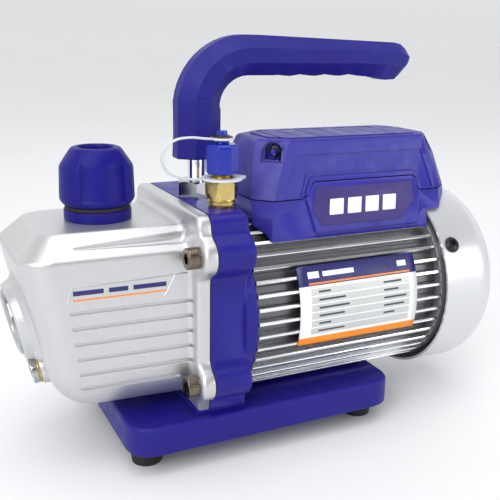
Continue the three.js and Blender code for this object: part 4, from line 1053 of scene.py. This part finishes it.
def nameplate():
    """A curved plate printed with plain fields and bars."""
    (x0, x1), _, _ = span("nameplate")
    top, bottom = 31.5, -17.0
    colors = ("white", "navy", "orange", "silver_print", "ink")
    # left, right, top and bottom share of the plate and the colour; later fields lie over earlier ones
    fields = [(0, 1, 0, 1, 0), (0, 1, 0, 0.25, 1), (0.08, 0.94, 0.215, 0.235, 2), (0, 1, 0.9, 1, 2)]
    fields += [(0.08, 0.17, 0.08, 0.16, 0), (0.2, 0.46, 0.09, 0.15, 0), (0.84, 0.92, 0.08, 0.15, 0)]
    for row in range(6):
        up = 0.285 + 0.0985 * row
        fields.append((0.09, 0.93, up, up + 0.083, 3))
        fields.append((0.15, (0.25, 0.37, 0.4, 0.36, 0.25, 0.37)[row], up + 0.03, up + 0.055, 4))
        if row < 5:
            fields.append((0.7, (0.86, 0.83, 0.9, 0.88, 0.8)[row], up + 0.03, up + 0.055, 4))
    across = sorted({f[i] for f in fields for i in (0, 1)})
    down = sorted({f[i] for f in fields for i in (2, 3)} | {k / 40 for k in range(41)})
    points = []
    for d in down:
        angle = radians(top + (bottom - top) * d)
        for a in across:
            points.append((x0 + (x1 - x0) * a, -50.68 * cos(angle), SHAFT_Z + 50.68 * sin(angle)))
    faces, indices = [], []
    wide = len(across)
    for j in range(len(down) - 1):
        for i in range(wide - 1):
            faces.append((j * wide + i, j * wide + i + 1, (j + 1) * wide + i + 1, (j + 1) * wide + i))
            a, d = (across[i] + across[i + 1]) / 2, (down[j] + down[j + 1]) / 2
            indices.append([f[4] for f in fields if f[0] < a < f[1] and f[2] < d < f[3]][-1])
    plate = mesh_object("rating_plate", points, faces)
    plate.data.shade_smooth()
    sheet = plate.modifiers.new("thickness", "SOLIDIFY")
    sheet.thickness = 0.0005
    middle = plate.data.polygons[len(faces) // 2]
    sheet.offset = -1 if middle.normal.y < 0 else 1
    piece(plate, colors, "nameplate")
    for face, index in zip(plate.data.polygons, indices):
        face.material_index = index


# ---- terminal box ----
BOX_TOP = 158.3
BOX_TOP_HALF = 22.3
LEAN = atan((33.2 - BOX_TOP_HALF) / (BOX_TOP - 109))


def near_side(u, v, w):
    """A point on the box's near flank: u along X, v its height, w outwards."""
    half = BOX_TOP_HALF + (BOX_TOP - v) * tan(LEAN)
    return (u, -half - w * cos(LEAN), v + w * sin(LEAN))


def far_side(u, v, w):
    x, y, z = near_side(u, v, w)
    return (x, -y, z)


# height, left end, right end, half width, left end's half, right end's half, flank's left end and right end
BOX_ROWS = (
    (100, 34.5, 156, 35.2, 26, 26, 38.5, 145),
    (118, 33.6, 158, 31.2, 22.5, 22, 40.5, 147.5),
    (127.9, 33, 159, 29, 20, 19, 42, 148),
    (147, 36, 153.5, 24.8, 15.5, 14.5, 49, 143.5),
    (157.2, 39.2, 148.2, 22.5, 12.2, 12, 53.6, 139.4),
    (158.3, 40.4, 147, 21.6, 11.6, 11.4, 54.4, 138.6),
)


def box_loop(row, inward, lower=0.0):
    z, left, right, half, left_half, right_half, flank_left, flank_right = row
    left, right, half = left + inward, right - inward, half - inward
    left_half, right_half = left_half - inward / 2, right_half - inward / 2
    flank_left, flank_right = flank_left + 0.4 * inward, flank_right - 0.4 * inward
    flat = [(left, -left_half), (flank_left, -half), (flank_right, -half), (right, -right_half)]
    flat += [(x, -y) for x, y in reversed(flat)]
    return [(x, y, z - lower) for x, y in flat]


def saddle(name, extra):
    profile = [(0, 0), (0, 50.4 + extra), (138.4 + extra, 50.4 + extra), (138.4 + extra, 56.6 + extra)]
    return lathe(name, profile + [(200, 56.6 + extra), (200, 0)], AXIS, ALONG, 144)


# outlines on a flank or from the side, as (x, z)
PART_LINE = [(58.5, 127.9), (61.6, 129.7), (63.9, 134.7), (66.4, 136.5), (128.7, 136.5), (131.4, 135.2)]
PART_LINE += [(132.3, 129.7), (134.3, 127.9)]
LIP = [(60.6, 127), (61.4, 133), (63.6, 138.2), (66, 139.6), (129.6, 139.6), (132.4, 138), (134, 133)]
LIP += [(134.6, 127), (131, 110), (65, 110)]
PANEL = [(57.4, 150.6), (47.6, 129), (58, 129), (62.5, 141), (132.5, 141), (136.4, 129), (144.2, 129)]
PANEL += [(137, 150.6)]
TOP_FIELD = [(46.6, -10.5), (56, -18.4), (136, -18.4), (141.6, -10), (141.6, 10), (136, 18.4), (56, 18.4)]
TOP_FIELD += [(46.6, 10.5)]
# x, y and outward direction of the screw pockets
POCKETS = [(46.4, side * 18.6, -0.6, side * 0.8) for side in (-1, 1)]
POCKETS += [(146.6, side * 18.2, 0.7, side * 0.71) for side in (-1, 1)]


def arch(name, spot, half, back, front, z0, z1):
    x, y, out_x, out_y = spot
    outline = [(half, z0)] + arc(0, z1 - half, half, 0, 180, 16) + [(-half, z0)]

    def put(u, v, w):
        return (x + out_x * w - out_y * u, y + out_y * w + out_x * u, v)

    return slab(name, outline, back, front, put)


def box_shell():
    shell = loft("box", [box_loop(row, 0) for row in BOX_ROWS])
    skin = duplicate(shell)
    for place in (near_side, far_side):
        fuse(shell, slab("lip", rounded(LIP[::-1], 1.2, 4), -1, 1.3, place, 0, 0.7, 4))
        cut(shell, slab("panel", rounded(PANEL, 1.5, 4), -0.6, 3, place))
    hollow = loft("hollow", [box_loop(row, 2.6, 2.6 if row[0] > 157 else 0) for row in BOX_ROWS[:-1]])
    cut(hollow, saddle("saddle", 2.6))
    cut(shell, hollow, saddle("saddle", 0))
    fuse(shell, slab("field", rounded(TOP_FIELD, 2), BOX_TOP - 0.6, BOX_TOP + 0.8, "z", 0, 0.4, 4))
    for i in range(8):
        if i < 7:
            groove = rectangle(51.5 + 12.2 * i, 52.6 + 12.2 * i, -15.8, 15.8)
            cut(shell, slab("groove", groove, BOX_TOP - 0.5, BOX_TOP + 2, "z"))
        start = 54.9 + 12.2 * (min(max(i, 0.6), 6.6) - 1)
        cut(shell, slab("slot", rectangle(start, start + 6.4, 13, 15), BOX_TOP - 1.6, BOX_TOP + 2, "z"))
    for spot in POCKETS:
        wall = arch("wall", spot, 6.2, -6.8, 14, 146.2, 158)
        fuse(shell, combine("INTERSECT", wall, duplicate(skin)))
    bpy.data.objects.remove(skin)
    for spot in POCKETS:
        cut(shell, arch("pocket", spot, 4.4, -5, 14, 148, 157))
        x, y, out_x, out_y = spot
        cut(shell, rod("hole", 1.7, -14, 2, (x, y, 152), (out_x, out_y, 0), 24))
    return shell


def terminal_box():
    shell = box_shell()
    gap = 0.6
    below = [(20, 90), (170, 90), (170, 127.9)] + PART_LINE[::-1] + [(20, 127.9)]
    above = [(20, 128.5), (20, 190), (170, 190), (170, 128.5)] + [(x, z + gap) for x, z in PART_LINE[::-1]]
    lower = combine("INTERSECT", duplicate(shell), slab("below", below, -60, 60, "y"))
    upper = combine("INTERSECT", shell, slab("above", above, -60, 60, "y"))
    cut(
        lower,
        slab("switch_hole", rectangle(74.5, 93.5, 116.5, 129.5), -8, 6, far_side),
        rod("gland_hole", 5.4, 18, 40, (114, 0, 121), ACROSS),
    )
    lower.name = "box_base"
    upper.name = "box_cover"
    piece(soften(lower, 0.7, 28, 3), "box", "terminal_box_base")
    piece(soften(upper, 0.7, 28, 3), "box", "terminal_box_cover")
    badge = [(66.8, 133.4), (63.4, 122), (69, 113.6), (119.6, 113.6), (129, 122.7), (128, 133.4)]
    plate = slab("badge_field", rounded(badge, 1.4, 5), 1.2, 1.7, near_side, 0, 0.25, 3)
    piece(plate, "badge", "badge_plate")
    for i in range(4):
        start = 73.5 + 11.3 * i
        bar = rounded([(start, 119), (start + 8.6, 119), (start + 9.6, 127.2), (start + 1, 127.2)], 0.5, 3)
        bar = slab(f"badge_bar_{i + 1}", bar, 1.5, 1.95, near_side, 0, 0.15, 3)
        piece(bar, "white")


def switch_and_gland():
    bezel = slab("switch_bezel", rectangle(73, 95, 115, 131, 1.6), 0.1, 1.7, far_side, 0, 0.7, 4)
    fuse(bezel, slab("sleeve", rectangle(74.7, 93.3, 116.7, 129.3), -6, 1, far_side))
    cut(bezel, slab("opening", rectangle(76.5, 91.5, 118, 128), -3.6, 6, far_side))
    piece(soften(bezel, 0.3, 40, 2), "black", "switch_housing")
    tilt = radians(7)
    side = rounded([(-6.5, -0.9), (0, -2.2), (6.5, -0.9), (6.5, 2.2), (0, 1.2), (-6.5, 2.2)], 0.6, 4)
    side = [(u * cos(tilt) - w * sin(tilt), u * sin(tilt) + w * cos(tilt)) for u, w in side]

    def on_far_side(u, w, v):
        return far_side(84 - u, 123 + v * cos(LEAN), w)

    piece(slab("power_rocker", side, -4.6, 4.6, on_far_side, 0.4, 0.4), "black", "switch_rocker")
    profile = [(22.5, 3.4), (22.5, 5.2), (28.2, 5.2), (28.2, 7.6), (34.5, 7.6)]
    for i in range(5):
        profile += [(35.6 + 1.6 * i, 6.3 - 0.12 * i), (36.4 + 1.6 * i, 5.4 - 0.12 * i)]
    profile += [(43.9, 5.2), (43.9, 3.4)]
    gland = lathe("cord_sleeve", rounded(profile, 0.3, 3), (114, 0, 121), ACROSS, 64)
    piece(gland, "rubber", "cord_gland")


def fan():
    hub = [(153.2, 5.6), (153.2, 40), (155, 40), (155.6, 12), (158, 9.4), (169, 9), (169, 5.6)]
    wheel = lathe("fan_wheel", rounded(hub, 0.6, 3), AXIS, ALONG)
    for i in range(8):
        a = radians(45 * i)
        blade = rounded([(154.4, 8), (169, 8), (169, 40), (154.4, 43)], 1.5, 4)
        place = lambda u, v, w: (u, v * cos(a) - w * sin(a), SHAFT_Z + v * sin(a) + w * cos(a))
        fuse(wheel, slab("blade", blade, -0.9, 0.9, place, 0.3, 0.3, 2))
    cut(wheel, rod("bore", 5.56, 150, 168.02, AXIS, ALONG))
    piece(wheel, "black", "cooling_fan")


# ---- inner nodes keep their CAD shape ----
INNER = {
    "iron": ("pump_cylinder", "pump_end_plate"),
    "zinc": ("motor_shaft", "pump_rotor", "bearing_front", "bearing_rear", "reed_valve"),
    "lamination": ("stator_core", "rotor_core"),
    "copper": ("winding_front", "winding_rear"),
    "composite": ("vane_near", "vane_far"),
    "rubber": ("shaft_seal",),
    "black": ("run_capacitor",),
    "gloss_black": [f"box_screw_{end}_{side}" for end in ("front", "rear") for side in ("near", "far")],
}


def inner_nodes():
    for key, nodes in INNER.items():
        for node in nodes:
            for slot in frame["nodes"][node].material_slots:
                slot.material = MATERIALS[key]


studio()
for make in (
    base, bracket, reservoir, cap_screws, sight_glass, oil_cap, suction_fitting, flare_cap, strap, handle,
    motor, fan_cover, end_shield, nameplate, terminal_box, switch_and_gland, fan, inner_nodes,
):
    make()
